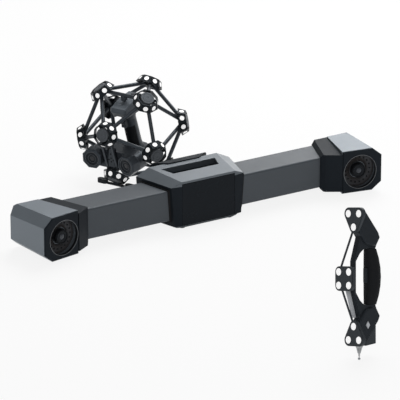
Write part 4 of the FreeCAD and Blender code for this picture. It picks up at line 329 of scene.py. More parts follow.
def softened(node, width):
    """A copy of a CAD piece with its sharp edges rounded and its flat faces kept flat."""
    piece = linked(f"{node}_shell", NODES[node].data.copy())
    only(piece)
    bpy.ops.mesh.customdata_custom_splitnormals_clear()
    bpy.ops.object.mode_set(mode="EDIT")
    bpy.ops.mesh.select_all(action="SELECT")
    bpy.ops.mesh.remove_doubles(threshold=MERGE)
    bpy.ops.mesh.dissolve_limited(angle_limit=math.radians(1))
    leave()
    smooth(piece, SHARP)
    bevelled(piece, width=width, segments=2, limit_method="ANGLE",
             angle_limit=math.radians(SHARP), harden_normals=True)
    return piece


def two_toned(piece, base, other, test):
    """Gives a piece one material, and another one on the faces that pass a test."""
    for finish in (base, other):
        piece.data.materials.append(finish)
    for face in piece.data.polygons:
        face.material_index = int(test(face))
    return piece


def dress(piece, finish, node, body=ROOT):
    """Gives a piece its material and its body, and hides the CAD piece that it stands for.

    Without a finish the piece keeps the materials that it was modelled with.
    """
    if finish:
        piece.data.materials.clear()
        piece.data.materials.append(finish)
        piece.data.polygons.foreach_set("material_index", [0] * len(piece.data.polygons))
    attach(piece, body)
    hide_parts(node)


def stand_in(node, width, finish, body=ROOT):
    """Puts a softened and dressed copy in the place of a CAD piece."""
    dress(softened(node, width), finish, node, body)


def cover(node, finish):
    """Gives a CAD piece its material and leaves its mesh alone."""
    mesh = NODES[node].data
    mesh.materials.clear()
    mesh.materials.append(finish)


# Materials

WHITE = (1, 1, 1, 1)
# Tints of the shine on plastic and of the coat on glass
COOL_SHINE = (0.72, 0.86, 1.0, 1)
COOL_COAT = (0.8, 0.88, 1.0, 1)

# Sockets of a mix node between two colours
MIX_SHARE, MIX_FIRST, MIX_SECOND, MIX_RESULT = 0, 6, 7, 2


class Term:
    """One shader socket, so that shader maths reads like sums."""

    def __init__(self, tree, socket):
        self.tree = tree
        self.socket = socket

    def maths(self, operation, first, second):
        node = self.tree.nodes.new("ShaderNodeMath")
        node.operation = operation
        for socket, value in zip(node.inputs, (first, second)):
            plug(self.tree, socket, value)
        return Term(self.tree, node.outputs[0])

    def __add__(self, other):
        return self.maths("ADD", self, other)

    def __radd__(self, other):
        return self.maths("ADD", other, self)

    def __rsub__(self, other):
        return self.maths("SUBTRACT", other, self)

    def __mul__(self, other):
        return self.maths("MULTIPLY", self, other)

    def __rmul__(self, other):
        return self.maths("MULTIPLY", other, self)

    def __gt__(self, other):
        return self.maths("GREATER_THAN", self, other)


def plug(tree, socket, value):
    """Links a term to a socket, or sets a plain value on it."""
    if isinstance(value, Term):
        tree.links.new(value.socket, socket)
    else:
        socket.default_value = value


class Finish:
    """One material, with a principled shader to start from."""

    def __init__(self, name, colour, roughness, **constants):
        self.colour = colour
        self.material = bpy.data.materials.new(name)
        self.material.use_nodes = True
        self.material.diffuse_color = (*colour, 1)
        self.tree = self.material.node_tree
        self.shader = self.tree.nodes["Principled BSDF"]
        self.use("Base Color", (*colour, 1))
        self.use("Roughness", roughness)
        for constant, value in constants.items():
            label = constant.replace("_", " ").title().replace("Ior", "IOR")
            self.use(label, value)

    def use(self, socket, value):
        """Sets or links one socket of the shader."""
        plug(self.tree, self.shader.inputs[socket], value)

    def node(self, kind, values=None, output=0, **settings):
        """One output of a new node, from its settings and its sockets' values or links."""
        node = self.tree.nodes.new(kind)
        for name, value in settings.items():
            setattr(node, name, value)
        for name, value in (values or {}).items():
            plug(self.tree, node.inputs[name], value)
        return Term(self.tree, node.outputs[output])

    def place(self, stretch=(1, 1, 1)):
        """Object coordinates, scaled along each axis."""
        here = self.node("ShaderNodeTexCoord", output="Object")
        return self.node("ShaderNodeMapping", {"Vector": here, "Scale": stretch})

    def noise(self, size, detail=2, stretch=(1, 1, 1)):
        """Soft noise whose features are about size metres wide."""
        return self.node("ShaderNodeTexNoise", {
            "Vector": self.place(stretch), "Scale": 1 / size, "Detail": detail})

    def cells(self, size):
        """Distance to the middle of cells about size metres wide."""
        return self.node("ShaderNodeTexVoronoi", {"Vector": self.place(), "Scale": 1 / size})

    def mixed(self, share, first, second):
        """A colour between two, by a share from 0 to 1."""
        values = {MIX_SHARE: share, MIX_FIRST: (*first, 1), MIX_SECOND: (*second, 1)}
        return self.node("ShaderNodeMix", values, MIX_RESULT, data_type="RGBA")

    def bumpy(self, height, depth, strength):
        """Lets a height field, times depth in metres, turn the normal."""
        self.use("Normal", self.node("ShaderNodeBump", {
            "Height": height, "Distance": depth, "Strength": strength}))

    def speckled(self, size, spread):
        """Varies the colour a little round its own value."""
        darker = tuple(value * (1 - spread) for value in self.colour)
        lighter = tuple(min(1, value * (1 + spread)) for value in self.colour)
        self.use("Base Color", self.mixed(self.noise(size), darker, lighter))

    def worn(self, least, spread, pattern):
        """Varies the roughness from its least value upwards."""
        self.use("Roughness", least + spread * pattern)


def powder_coat(name, colour, roughness=0.42, flakes=0.5, shine=0.5):
    """Metallic paint with the fine orange peel of powder coat; flakes is its metallic share."""
    finish = Finish(name, colour, roughness, specular_ior_level=shine, metallic=flakes)
    finish.speckled(size=0.06, spread=0.05)
    finish.worn(roughness - 0.05, 0.1, finish.noise(0.03))
    finish.bumpy(finish.noise(1.6 * MM, 3), depth=0.05 * MM, strength=0.5)
    return finish.material


def textured_plastic(name, colour, roughness, grain=1.0, depth=0.06, shine=0.2):
    """Moulded plastic with a slightly cool shine; its grain is given in millimetres."""
    finish = Finish(name, colour, roughness, specular_ior_level=shine, specular_tint=COOL_SHINE)
    finish.speckled(size=0.04, spread=0.07)
    finish.worn(roughness - 0.06, 0.12, finish.noise(0.02))
    grains = finish.cells(grain * MM) + 0.5 * finish.noise(grain * MM / 2)
    finish.bumpy(grains, depth=depth * MM, strength=0.6)
    return finish.material


def gloss_plastic(name, colour, roughness, shine=0.4):
    """Polished plastic with a clear surface and faint handling marks."""
    finish = Finish(name, colour, roughness, specular_ior_level=shine, specular_tint=COOL_SHINE,
                    coat_weight=shine / 4, coat_roughness=0.08)
    finish.speckled(size=0.08, spread=0.04)
    finish.worn(roughness, 0.1, finish.noise(0.015) * finish.noise(0.05))
    finish.bumpy(finish.noise(0.03), depth=0.03 * MM, strength=0.2)
    return finish.material


def soft_rubber(name, colour, rib=None):
    """Rubber with a fine matt skin, and with ribs of that many millimetres where it is held."""
    finish = Finish(name, colour, roughness=0.7, specular_ior_level=0.16)
    finish.speckled(size=0.02, spread=0.1)
    finish.worn(0.62, 0.16, finish.noise(0.01))
    skin = finish.noise(0.7 * MM, 4)
    if rib:
        skin = skin * 0.3 + finish.cells(rib * MM)
    finish.bumpy(skin, depth=0.12 * MM, strength=0.7)
    return finish.material


def machined_metal(name, colour, roughness, along="X"):
    """Bare metal with fine tool marks along one axis."""
    finish = Finish(name, colour, roughness, metallic=1.0)
    stretch = tuple(0.02 if axis == along else 1 for axis in "XYZ")
    marks = finish.noise(0.35 * MM, 2, stretch)
    finish.speckled(size=0.02, spread=0.08)
    finish.worn(roughness - 0.08, 0.18, marks)
    finish.bumpy(marks, depth=0.02 * MM, strength=0.3)
    return finish.material


def coated_glass(name, colour):
    """Dark lens glass with a cool coating."""
    finish = Finish(name, colour, roughness=0.03, specular_ior_level=0.25, coat_weight=0.25,
                    coat_roughness=0.02, coat_tint=COOL_COAT)
    finish.worn(0.02, 0.03, finish.noise(0.01))
    return finish.material


def bead_sheet_with_painted_glow(name, colour):
    """White retroreflective sheet, packed with tiny glass beads, with a painted glow in place of
    the light that it throws back.
    """
    # The white emission is a painted glow: the sheet shines without being lit, standing in for
    # retroreflected light
    finish = Finish(name, colour, roughness=0.38, coat_weight=0.3, coat_roughness=0.2,
                    emission_color=WHITE, emission_strength=0.42)
    beads = finish.cells(0.9 * MM)
    darker = tuple(value * 0.95 for value in colour)
    finish.use("Base Color", finish.mixed(beads, colour, darker))
    finish.bumpy(1 - beads, depth=0.05 * MM, strength=0.5)
    return finish.material


def solder_mask(name, colour):
    """Circuit board with faint copper tracks under its mask."""
    finish = Finish(name, colour, roughness=0.35, specular_ior_level=0.25,
                    specular_tint=COOL_SHINE)
    tracks = (finish.cells(3.2 * MM) > 0.42) * 0.25
    lighter = tuple(min(1, value * 1.9 + 0.01) for value in colour)
    finish.use("Base Color", finish.mixed(tracks, colour, lighter))
    finish.bumpy(tracks, depth=0.04 * MM, strength=0.4)
    return finish.material


# Colours of the small pieces

PANEL_BLACK = (0.006, 0.007, 0.009)
RUBBER_BLACK = (0.012, 0.012, 0.013)
BARREL_BLACK = (0.009, 0.009, 0.010)
TRACKER_GLASS = (0.045, 0.050, 0.060)
LIGHT_RING_GREY = (0.150, 0.158, 0.168)
LED_BOARD_GREY = (0.032, 0.029, 0.029)
LED_BLACK = (0.010, 0.010, 0.012)
CIRCUIT_GREEN = (0.006, 0.030, 0.014)
POWER_KEY_GREY = (0.05, 0.053, 0.058)
MARKER_RIM_BLACK = (0.01, 0.01, 0.011)
SCANNER_GRIP_BLACK = (0.008, 0.009, 0.011)
PROJECTOR_BLACK = (0.006, 0.006, 0.008)
SCANNER_KEY_GREY = (0.055, 0.058, 0.064)
SCAN_GLASS = (0.006, 0.007, 0.010)
SCAN_LENS_BLACK = (0.008, 0.009, 0.011)
# Lighter grey painted on the scanner's lens lips as highlight rings
SCAN_LIP_HIGHLIGHT_GREY = (0.100, 0.108, 0.118)
PROBE_GRIP_BLACK = (0.010, 0.011, 0.013)
FINGER_KEY_BLACK = (0.016, 0.018, 0.021)
SIDE_KEY_GREY = (0.58, 0.60, 0.63)
TIP_CERAMIC = (0.36, 0.39, 0.42)
SOCKET_STEEL = (0.36, 0.36, 0.37)
SCREW_BLACK = (0.05, 0.05, 0.052)
TAIL_STEEL = (0.33, 0.33, 0.34)
HOLDER_STEEL = (0.34, 0.35, 0.36)
STYLUS_STEEL = (0.42, 0.42, 0.43)


# Settings that a user would change

class TrackerLooks(bpy.types.PropertyGroup):
    """Colours, edges and LEDs of the tracker bar."""
    housing: FloatVectorProperty(name="Housings", description="Camera housings",
                                 subtype="COLOR", size=3, default=(0.172, 0.198, 0.224))
    cover: FloatVectorProperty(name="Cover", description="Top of the centre module",
                               subtype="COLOR", size=3, default=(0.105, 0.121, 0.137))
    beam: FloatVectorProperty(name="Beam", description="Extruded beam and bottom plate",
                              subtype="COLOR", size=3, default=(0.072, 0.082, 0.093))
    bezel: FloatVectorProperty(name="Black", subtype="COLOR", size=3,
                               description="Collars, bezels, centre housing and rear covers",
                               default=(0.013, 0.016, 0.020))
    edge: FloatProperty(name="Edges", description="Rounding of the housings' edges",
                        subtype="DISTANCE", unit="LENGTH", default=1.1 * MM)
    leds: IntProperty(name="LEDs", description="Infrared LEDs round each lens", default=18,
                      min=6, max=36)


class ScannerLooks(bpy.types.PropertyGroup):
    """Colours and edges of the handheld scanner."""
    ring: FloatVectorProperty(name="Rings", description="Marker rings and support foot",
                              subtype="COLOR", size=3, default=(0.009, 0.011, 0.013))
    cap: FloatVectorProperty(name="Caps", description="Hub caps", subtype="COLOR", size=3,
                             default=(0.100, 0.108, 0.118))
    rod: FloatVectorProperty(name="Rods", description="Rods of the cage", subtype="COLOR",
                             size=3, default=(0.036, 0.040, 0.046))
    shell: FloatVectorProperty(name="Body", description="Body, cameras, handle and fork",
                               subtype="COLOR", size=3, default=(0.028, 0.032, 0.038))
    head: FloatVectorProperty(name="Head", description="Housing above the handle",
                              subtype="COLOR", size=3, default=(0.103, 0.117, 0.132))
    marker: FloatVectorProperty(name="Markers", description="Markers of scanner and probe",
                                subtype="COLOR", size=3, default=(0.95, 0.95, 0.95))
    edge: FloatProperty(name="Edges", description="Rounding of the moulded edges",
                        subtype="DISTANCE", unit="LENGTH", default=0.6 * MM)


class ProbeLooks(bpy.types.PropertyGroup):
    """Colours and edges of the touch probe."""
    shell: FloatVectorProperty(name="Frame", description="Moulded frame", subtype="COLOR",
                               size=3, default=(0.018, 0.021, 0.025))
    plate: FloatVectorProperty(name="Plates", description="Marker plates, struts and battery",
                               subtype="COLOR", size=3, default=(0.044, 0.049, 0.055))
    strip: FloatVectorProperty(name="Strip", description="Pale strip behind the lower strut",
                               subtype="COLOR", size=3, default=(0.62, 0.64, 0.67))
    edge: FloatProperty(name="Edges", description="Rounding of the moulded edges",
                        subtype="DISTANCE", unit="LENGTH", default=0.8 * MM)


class StageLooks(bpy.types.PropertyGroup):
    """Floor, light and camera."""
    floor: FloatProperty(name="Floor", description="Lightness of the floor",
                         subtype="FACTOR", default=0.82, min=0, max=1)
    daylight: FloatProperty(name="Daylight", description="Strength of the light all round",
                            default=0.3, min=0)
    azimuth: FloatProperty(name="Azimuth", description="Camera's angle from the front",
                           subtype="ANGLE", unit="ROTATION", default=math.radians(-31.944))
    elevation: FloatProperty(name="Elevation", description="Camera's angle above the floor",
                             subtype="ANGLE", unit="ROTATION", default=math.radians(20.873))
    distance: FloatProperty(name="Distance", description="Camera's distance",
                            subtype="DISTANCE", unit="LENGTH", default=9.80418)
    lens: FloatProperty(name="Lens", description="Focal length on a 36 mm sensor",
                        subtype="DISTANCE_CAMERA", unit="CAMERA", default=350.67)


def looks(group):
    """The settings of one group."""
    return getattr(bpy.context.scene, f"scanner_set_{group}")


class PieceOperator(bpy.types.Operator):
    """Shared settings of the operators that make pieces."""
    bl_options = {"REGISTER", "UNDO"}


# Pieces on more than one instrument

def screws(node, away_from):
    """Socket head screws with a hexagon recess, one on each seat."""
    places, seat_radius, height = seats(node, away_from)
    radius = seat_radius * 0.94
    rim, bore = radius * 0.1, height * 0.6
    hexagon, depth, level = radius * 0.46, height * 0.3, height * 0.52
    head = turned("screw_form", scaled(radius, height, (1, 0), (1, 0.75), (0.88, 1), (0.6, 1)),
                  30)
    edit(head)
    choose(head, "faces", lambda face: is_disc(face) and face.normal.z > 0.9)
    bpy.ops.mesh.inset(thickness=rim)
    bpy.ops.mesh.extrude_region_move(TRANSFORM_OT_translate={"value": (0, 0, -bore)})
    bpy.ops.transform.resize(value=(0.9, 0.9, 1), center_override=(0, 0, 0))
    leave()
    recess = primitive(bpy.ops.mesh.primitive_cylinder_add, "hexagon_form", vertices=6,
                       radius=hexagon, depth=depth, location=(0, 0, level))
    bpy.ops.object.transform_apply(location=True)
    bevelled(recess, width=hexagon * 0.1, segments=1)
    return repeated(f"{node}_heads", joined("screw_form", [head, recess]), places)


def dark_screw():
    """Blackened steel."""
    return machined_metal("screw_black", SCREW_BLACK, roughness=0.34)


def marker_discs(kind, node, away_from):
    """Reflective discs in the place of a CAD piece: raised white faces with a painted glow
    inside black rims.
    """
    places, seat_radius, height = seats(node, away_from)
    radius = seat_radius * 0.99
    groove = 0.92
    rim = textured_plastic(f"{kind}_rim", MARKER_RIM_BLACK, roughness=0.5)
    painted_glow_sheet = bead_sheet_with_painted_glow(f"{kind}_sheet", looks("scanner").marker)
    disc = turned(f"{kind}_form", scaled(
        radius, height, (1, 0), (1, 0.7), (0.985, 1), (0.95, 1), (0.935, 0.72), (groove, 0.72),
        (0.905, 0.9)), 32)
    two_toned(disc, rim, painted_glow_sheet, lambda face: face.center.xy.length < radius * groove
              and face.center.z > height / 2)
    dress(repeated(f"{kind}_discs", disc, places), None, node)


# Tracker bar

class SCANSET_OT_housings(PieceOperator):
    """Rounded housings, collars, module and plates of the tracker bar."""
    bl_idname = "scanset.housings"
    bl_label = "Tracker housings"

    def execute(self, context):
        settings = looks("tracker")
        edge = settings.edge
        paint = powder_coat("housing_paint", settings.housing)
        beam = powder_coat("beam_paint", settings.beam, roughness=0.46, flakes=0.3, shine=0.25)
        black = textured_plastic("bezel_plastic", settings.bezel, roughness=0.48, grain=0.8,
                                 shine=0.08)
        for node in ("left_camera_housing", "right_camera_housing"):
            stand_in(node, edge, paint)
        stand_in("top_cover", edge, powder_coat("cover_paint", settings.cover))
        for node, width in (("left_end_collar", edge), ("right_end_collar", edge),
                            ("left_front_bezel", edge / 2), ("right_front_bezel", edge / 2),
                            ("rear_covers", edge / 4), ("connector_panel", edge / 4)):
            stand_in(node, width, black)
        stand_in("front_panel", edge / 4, gloss_plastic(
            "panel_gloss", PANEL_BLACK, roughness=0.24, shine=0.12))
        stand_in("bottom_plate", edge / 2, beam)
        cover("beam_tube", beam)
        cover("centre_housing", black)
        cover("module_gaskets", soft_rubber("gasket_rubber", RUBBER_BLACK))
        return {"FINISHED"}


class SCANSET_OT_lenses(PieceOperator):
    """Lens barrels, domed lenses, light rings and LEDs of the camera housings."""
    bl_idname = "scanset.lenses"
    bl_label = "Tracker lenses"

    def barrel(self, name):
        """Lens barrel with a stepped mouth and a knurled focus ring inside the recess."""
        sides = 96
        ring_level = -11.5 * MM
        knurl_height = 0.35 * MM
        piece = turned(name, mm(
            (14.8, -52), (18, -52), (18, -20.2), (20.8, -20.2), (20.8, -18.6), (18, -18.4),
            (18, -14), (18.6, -13.6), (18.6, -9.4), (18, -9), (18, -6), (17.2, -5.1),
            (16.2, -5.1), (15.3, -6.2), (15.1, -8.3), (14.8, -8.3)), sides)

        def is_knurl(face):
            middle = face.calc_center_median()
            facet = math.floor(math.degrees(math.atan2(*middle.xy)) * sides / 360)
            return abs(middle.z - ring_level) < MM and facet % 2

        open_ends(piece)
        choose(piece, "faces", is_knurl)
        bpy.ops.mesh.extrude_region_shrink_fatten(
            TRANSFORM_OT_shrink_fatten={"value": -knurl_height})
        face_outwards()
        leave()
        smooth(piece)
        return piece

    def glass(self, name, ring, coating):
        """Front element: a small polished dome inside a stepped black ring."""
        dome, dome_foot, dome_height = 7.2, -8.6, 2.2
        glass_from = -9 * MM
        rows = 5
        angles = [math.pi * row / (2 * rows + 1) for row in range(1, rows + 1)]
        arc = [(dome * math.cos(angle), dome_foot + dome_height * math.sin(angle))
               for angle in angles]
        piece = turned(name, mm(
            (14.7, -12.6), (14.7, -7.6), (14.2, -7.1), (12.9, -7.1), (12.4, -7.7),
            (10.9, -7.7), (10.5, -7.2), (9.6, -7.2), (8.9, -8.4), (dome, dome_foot), *arc), 64)
        return two_toned(piece, ring, coating, lambda face: face.center.xy.length < dome * MM
                         and face.center.z > glass_from)

    def light_ring(self, wall, lip):
        """Thin ring round the recess, black inside, with a rounded metal lip."""
        piece = turned("light_ring_form", mm(
            (43.6, -7), (45.8, -7), (45.8, 0.2), (45.4, 0.7), (44.9, 0.75), (44.5, 0.5),
            (43.5, -0.9), (43.5, -6.9)), 128)
        pierce(piece)
        smooth(piece)
        return two_toned(piece, wall, lip, lambda face: face.center.z > 0)

    def board(self, count, mask, rim, dome):
        """Ring-shaped board with a domed LED in a cup at each place."""
        inner, outer, back, front = 22, 45.6, -19.9, -18.5
        circle, dome_radius = 34, 1.6
        base = turned("board_form", mm((inner, back), (outer, back), (outer, front),
                                       (inner, front)), 72)
        pierce(base)
        base.data.materials.append(mask)
        cup = turned("led_form", mm(
            (2.3, 0), (2.3, 1), (2.05, 1.3), (1.8, 1), (1.65, 0.6), (1.55, 0.9), (1.2, 1.5),
            (0.6, 1.9), (0.15, 2.0)), 16)
        two_toned(cup, rim, dome, lambda face: face.center.xy.length < dome_radius * MM
                  and face.normal.z > 0)
        leds = repeated("led_ring_form", cup, on_circle(count, circle, front))
        return joined("board_form", [base, leds])

    def execute(self, context):
        settings = looks("tracker")
        both = [lens_matrix(-1), lens_matrix(1)]
        black = textured_plastic("barrel_black", BARREL_BLACK, roughness=0.42, grain=0.5,
                                 depth=0.03)
        glass = coated_glass("lens_glass", TRACKER_GLASS)
        ring = powder_coat("ring_grey", LIGHT_RING_GREY, roughness=0.34, flakes=0.2)
        board = solder_mask("led_board_mask", LED_BOARD_GREY)
        led = gloss_plastic("led_dome", LED_BLACK, roughness=0.08)
        for side, place in zip(("left", "right"), both):
            dress(moved(self.barrel(f"{side}_barrel_turned"), place), black,
                  f"{side}_lens_barrel")
            dress(moved(self.glass(f"{side}_lens_dome", black, glass), place), None,
                  f"{side}_front_lens")
        dress(repeated("light_rings", self.light_ring(black, ring), both), None, "lens_rings")
        dress(repeated("led_rings", self.board(settings.leds, board, black, led), both), None,
              "led_boards")
        mask = solder_mask("circuit_mask", CIRCUIT_GREEN)
        for node in ("sensor_boards", "controller_board"):
            cover(node, mask)
        return {"FINISHED"}


class SCANSET_OT_fittings(PieceOperator):
    """Sockets, power button, feet, tripod insert and screws of the tracker bar."""
    bl_idname = "scanset.fittings"
    bl_label = "Tracker fittings"

    def socket(self):
        """Round metal socket with five contacts round one in its middle."""
        floor = 0.8
        shell = turned("socket_form", mm((8.4, 0), (8.4, 3.3), (8.0, 3.9), (6.4, 3.9),
                                         (5.6, 3.2), (5.5, floor)), 48)
        pin = turned("pin_form", mm((0.55, 0), (0.55, 2.3), (0.25, 2.7)), 10)
        spots = on_circle(1, 0, floor) + on_circle(5, 3.1, floor, start=18)
        return joined("socket_form", [shell, repeated("pins_form", pin, spots)])

    def execute(self, context):
        back = Vector((0, 1, 0))
        steel = machined_metal("socket_steel", SOCKET_STEEL, roughness=0.28, along="Y")
        low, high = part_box("rear_sockets")
        socket_proud = 4 * MM
        panel_face = high[1] - socket_proud
        level = (low[2] + high[2]) / 2
        radius = (high[2] - low[2]) / 2
        places = [facing(Vector((along, panel_face, level)), back)
                  for along in (low[0] + radius, high[0] - radius)]
        dress(repeated("rear_connectors", self.socket(), places), steel, "rear_sockets")
        key = turned("power_key", mm((6.5, -4.2), (6.5, 1.6), (6.2, 2.1), (5.5, 2.45),
                                     (4.4, 2.3), (4.1, 2.0), (1, 1.9)), 64)
        middle = box_centre("power_button")
        moved(key, facing(Vector((middle.x, panel_face, middle.z)), back))
        dress(key, gloss_plastic("power_key_plastic", POWER_KEY_GREY, roughness=0.25),
              "power_button", "power_key")
        foot = turned("foot_form", mm((7.9, 0), (7.9, 2.0), (7.6, 2.6), (6.8, 3.0), (5.2, 3.0),
                                      (4.6, 2.6), (1, 2.6)), 40)
        places, *rest = seats("tracker_feet", TRACKER_MIDDLE)
        dress(repeated("feet", foot, places), soft_rubber("foot_rubber", RUBBER_BLACK),
              "tracker_feet")
        stand_in("tripod_socket", 0.4 * MM, steel)
        dress(screws("tracker_screws", TRACKER_MIDDLE), dark_screw(), "tracker_screws")
        return {"FINISHED"}


# Scanner

def cage_centre():
    """Middle of the cage, halfway between two opposite hub caps."""
    places, *rest = seats("hub_caps", box_centre("hub_caps"))
    spots = [place.translation for place in places]
    pairs = [(one, other) for one in spots for other in spots]
    one, other = max(pairs, key=lambda pair: (pair[0] - pair[1]).length)
    return (one + other) / 2


class SCANSET_OT_cage(PieceOperator):
    """Marker rings, caps, reflective discs and rods of the scanner's cage."""
    bl_idname = "scanset.cage"
    bl_label = "Scanner cage"

    def cap(self, radius, height):
        """Hub cap with a shallow groove and a dished middle."""
        return turned("cap_form", scaled(
            radius, height, (1, 0), (1, 0.78), (0.985, 0.9), (0.95, 1), (0.70, 1),
            (0.685, 0.88), (0.65, 0.88), (0.635, 1), (0.2, 1), (0.17, 0.9)), 48)

    def rod(self):
        """Tube of unit length and radius with a ferrule at each end."""
        return turned("rod_form", [(0.78, 0), (1, 0.004), (1, 0.05), (0.93, 0.055),
                                   (0.93, 0.945), (1, 0.95), (1, 0.996), (0.78, 1)], 24)

    def execute(self, context):
        settings = looks("scanner")
        centre = cage_centre()
        # The round caps and rods fit inside the flat-sided ones of the CAD model
        cap_sides, rod_sides = 16, 8
        stand_in("marker_rings", settings.edge, textured_plastic(
            "ring_plastic", settings.ring, roughness=0.4, grain=0.7))
        places, radius, height = seats("hub_caps", centre)
        cap = self.cap(radius * math.cos(math.pi / cap_sides), height)
        dress(repeated("cap_discs", cap, places), textured_plastic(
            "cap_plastic", settings.cap, roughness=0.42, grain=0.7), "hub_caps")
        marker_discs("marker", "cage_markers", centre)
        tubes = []
        for start, end, radius in rods("cage_rods"):
            thick = radius * math.cos(math.pi / rod_sides)
            stretch = Matrix.Diagonal((thick, thick, (end - start).length, 1))
            tubes.append(facing(start, end - start) @ stretch)
        dress(repeated("cage_tubes", self.rod(), tubes), textured_plastic(
            "rod_satin", settings.rod, roughness=0.32, grain=0.5, depth=0.03, shine=0.4),
            "cage_rods")
        return {"FINISHED"}


class SCANSET_OT_scanner(PieceOperator):
    """Body, handle, head, cameras and keys of the handheld scanner."""
    bl_idname = "scanset.scanner"
    bl_label = "Scanner body"

    def lens(self, black, lip, coating):
        """Camera lens: stepped mouth whose two flat lips are painted grey as highlight rings,
        and a domed glass.
        """
        highlight_lips = ((18.2, 19.9), (10.4, 11.2))
        mount = turned("scan_lens_form", mm(
            (20.6, -8), (20.6, -1.7), (19.9, -1.1), (18.2, -1.1), (17.6, -1.6), (14.4, -3.0),
            (13.6, -3.0), (13.0, -2.5), (11.2, -2.1), (10.4, -2.1), (9.9, -2.5), (7.4, -4.1)),
            64)

        def on_highlight_lip(face):
            reach = face.center.xy.length / MM
            return face.normal.z > 0.9 and any(low < reach < high for low, high in highlight_lips)

        # The lighter grey on the two flat lips is a painted highlight, standing in for the
        # bright rings that light makes on the lens mouth
        two_toned(mount, black, lip, on_highlight_lip)
        glass = turned("scan_glass_form", mm((7.4, -4.1), (7.3, -3.9), (6.4, -3.4),
                                             (4.8, -3.1), (2.6, -3.02), (1, -3.0)), 48)
        glass.data.materials.append(coating)
        return joined("scan_lens_form", [mount, glass])

    def lenses(self):
        """One lens in each camera housing, looking a little inwards."""
        centre = cage_centre()
        across, along, up = SCAN_LENS_CENTRE
        places = []
        for side in (-1, 1):
            spot = centre + SCANNER_TURN @ Vector((side * across, along, up))
            inwards = SCANNER_TURN @ turned_by((-side * SCAN_LENS_TOE_IN, "Z"))
            places.append(facing(spot, inwards @ Vector((0, -1, 0))))
        glass = coated_glass("scan_glass", SCAN_GLASS)
        black = textured_plastic("scan_lens_black", SCAN_LENS_BLACK, roughness=0.36, grain=0.6)
        lip = textured_plastic("scan_lens_lip", SCAN_LIP_HIGHLIGHT_GREY, roughness=0.36, grain=0.6)
        dress(repeated("scan_lenses", self.lens(black, lip, glass), places), None,
              "scan_camera_lenses")

    def execute(self, context):
        settings = looks("scanner")
        edge = settings.edge
        shell = textured_plastic("scanner_shell", settings.shell, roughness=0.36, grain=0.8,
                                 shine=0.34)
        head = textured_plastic("head_plastic", settings.head, roughness=0.36, grain=0.8,
                                shine=0.34)
        for node in ("scanner_body", "left_scan_camera", "right_scan_camera", "scanner_handle",
                     "cage_posts", "front_fork"):
            stand_in(node, edge, shell)
        stand_in("scanner_head", edge, head)
        stand_in("scanner_grip", edge, soft_rubber(
            "grip_rubber", SCANNER_GRIP_BLACK, rib=2.4))
        stand_in("support_foot", edge, textured_plastic(
            "foot_plastic", settings.ring, roughness=0.45, grain=0.8))
        stand_in("laser_projector", edge / 2, gloss_plastic(
            "projector_gloss", PROJECTOR_BLACK, roughness=0.1))
        key = textured_plastic("key_plastic", SCANNER_KEY_GREY, roughness=0.4, grain=0.7)
        stand_in("scanner_trigger", edge, key, "trigger")
        stand_in("menu_button", edge / 2, key, "menu_key")
        stand_in("scanner_socket", edge / 3, machined_metal(
            "tail_socket_steel", TAIL_STEEL, roughness=0.3))
        self.lenses()
        return {"FINISHED"}


# Touch probe

class SCANSET_OT_probe(PieceOperator):
    """Frame, plates, grip, stylus and keys of the touch probe."""
    bl_idname = "scanset.probe"
    bl_label = "Touch probe"

    def stylus(self):
        """Holder, steel shaft and polished ball on the probe's axis."""
        holder = turned("holder_turned", mm(
            (2.2, 15), (3.4, 15), (3.6, 15.3), (3.7, 16.2), (6.2, 24.6), (6.2, 25.2),
            (5.7, 25.5), (5.7, 26.3), (6.6, 26.6), (8.5, 30.7), (8.5, 34.6), (2.2, 34.6)), 48)
        dress(moved(holder, PROBE_MATRIX), machined_metal(
            "holder_steel", HOLDER_STEEL, roughness=0.34, along="Z"), "stylus_holder")
        shaft = turned("stylus_turned", mm((1.3, 5.2), (1.3, 7.3), (1.6, 8.2), (2.15, 9.6),
                                           (2.15, 23.9)), 32)
        dress(moved(shaft, PROBE_MATRIX), machined_metal(
            "stylus_steel", STYLUS_STEEL, roughness=0.25, along="Z"), "stylus")
        flat_from = 1.9 * MM
        ball_centre = Matrix.Translation((0, 0, 3.2 * MM))
        ball = primitive(bpy.ops.mesh.primitive_uv_sphere_add, "tip_ball", segments=32,
                         ring_count=20, radius=3.15 * MM)
        edit(ball)
        bpy.ops.mesh.select_all(action="SELECT")
        bpy.ops.mesh.bisect(plane_co=(0, 0, flat_from), plane_no=(0, 0, 1), use_fill=True,
                            clear_outer=True)
        leave()
        smooth(ball)
        dress(moved(ball, PROBE_MATRIX @ ball_centre), gloss_plastic(
            "tip_ceramic", TIP_CERAMIC, roughness=0.06), "stylus_tip")

    def execute(self, context):
        settings = looks("probe")
        edge = settings.edge
        shell = textured_plastic("probe_shell", settings.shell, roughness=0.44, grain=0.9)
        plates = textured_plastic("plate_plastic", settings.plate, roughness=0.42, grain=0.8)
        stand_in("probe_frame", edge, shell)
        for node in ("battery_pack", "upper_marker_plate", "middle_marker_plate",
                     "lower_marker_plate"):
            stand_in(node, edge, plates)
        marker_discs("probe", "probe_markers", box_centre("probe_grip"))
        stand_in("plate_struts", edge / 4, plates)
        stand_in("light_strip", edge / 3, textured_plastic(
            "strip_plastic", settings.strip, roughness=0.4, grain=0.8))
        stand_in("probe_grip", edge, soft_rubber(
            "probe_grip_rubber", PROBE_GRIP_BLACK, rib=2.2))
        stand_in("finger_button", edge / 2, textured_plastic(
            "finger_key_plastic", FINGER_KEY_BLACK, roughness=0.4, grain=0.7),
            "finger_key")
        stand_in("side_key", edge / 3, textured_plastic(
            "side_key_plastic", SIDE_KEY_GREY, roughness=0.4, grain=0.7),
            "side_key_body")
        self.stylus()
        dress(screws("probe_screws", PROBE_MIDDLE), dark_screw(), "probe_screws")
        return {"FINISHED"}


# Stage

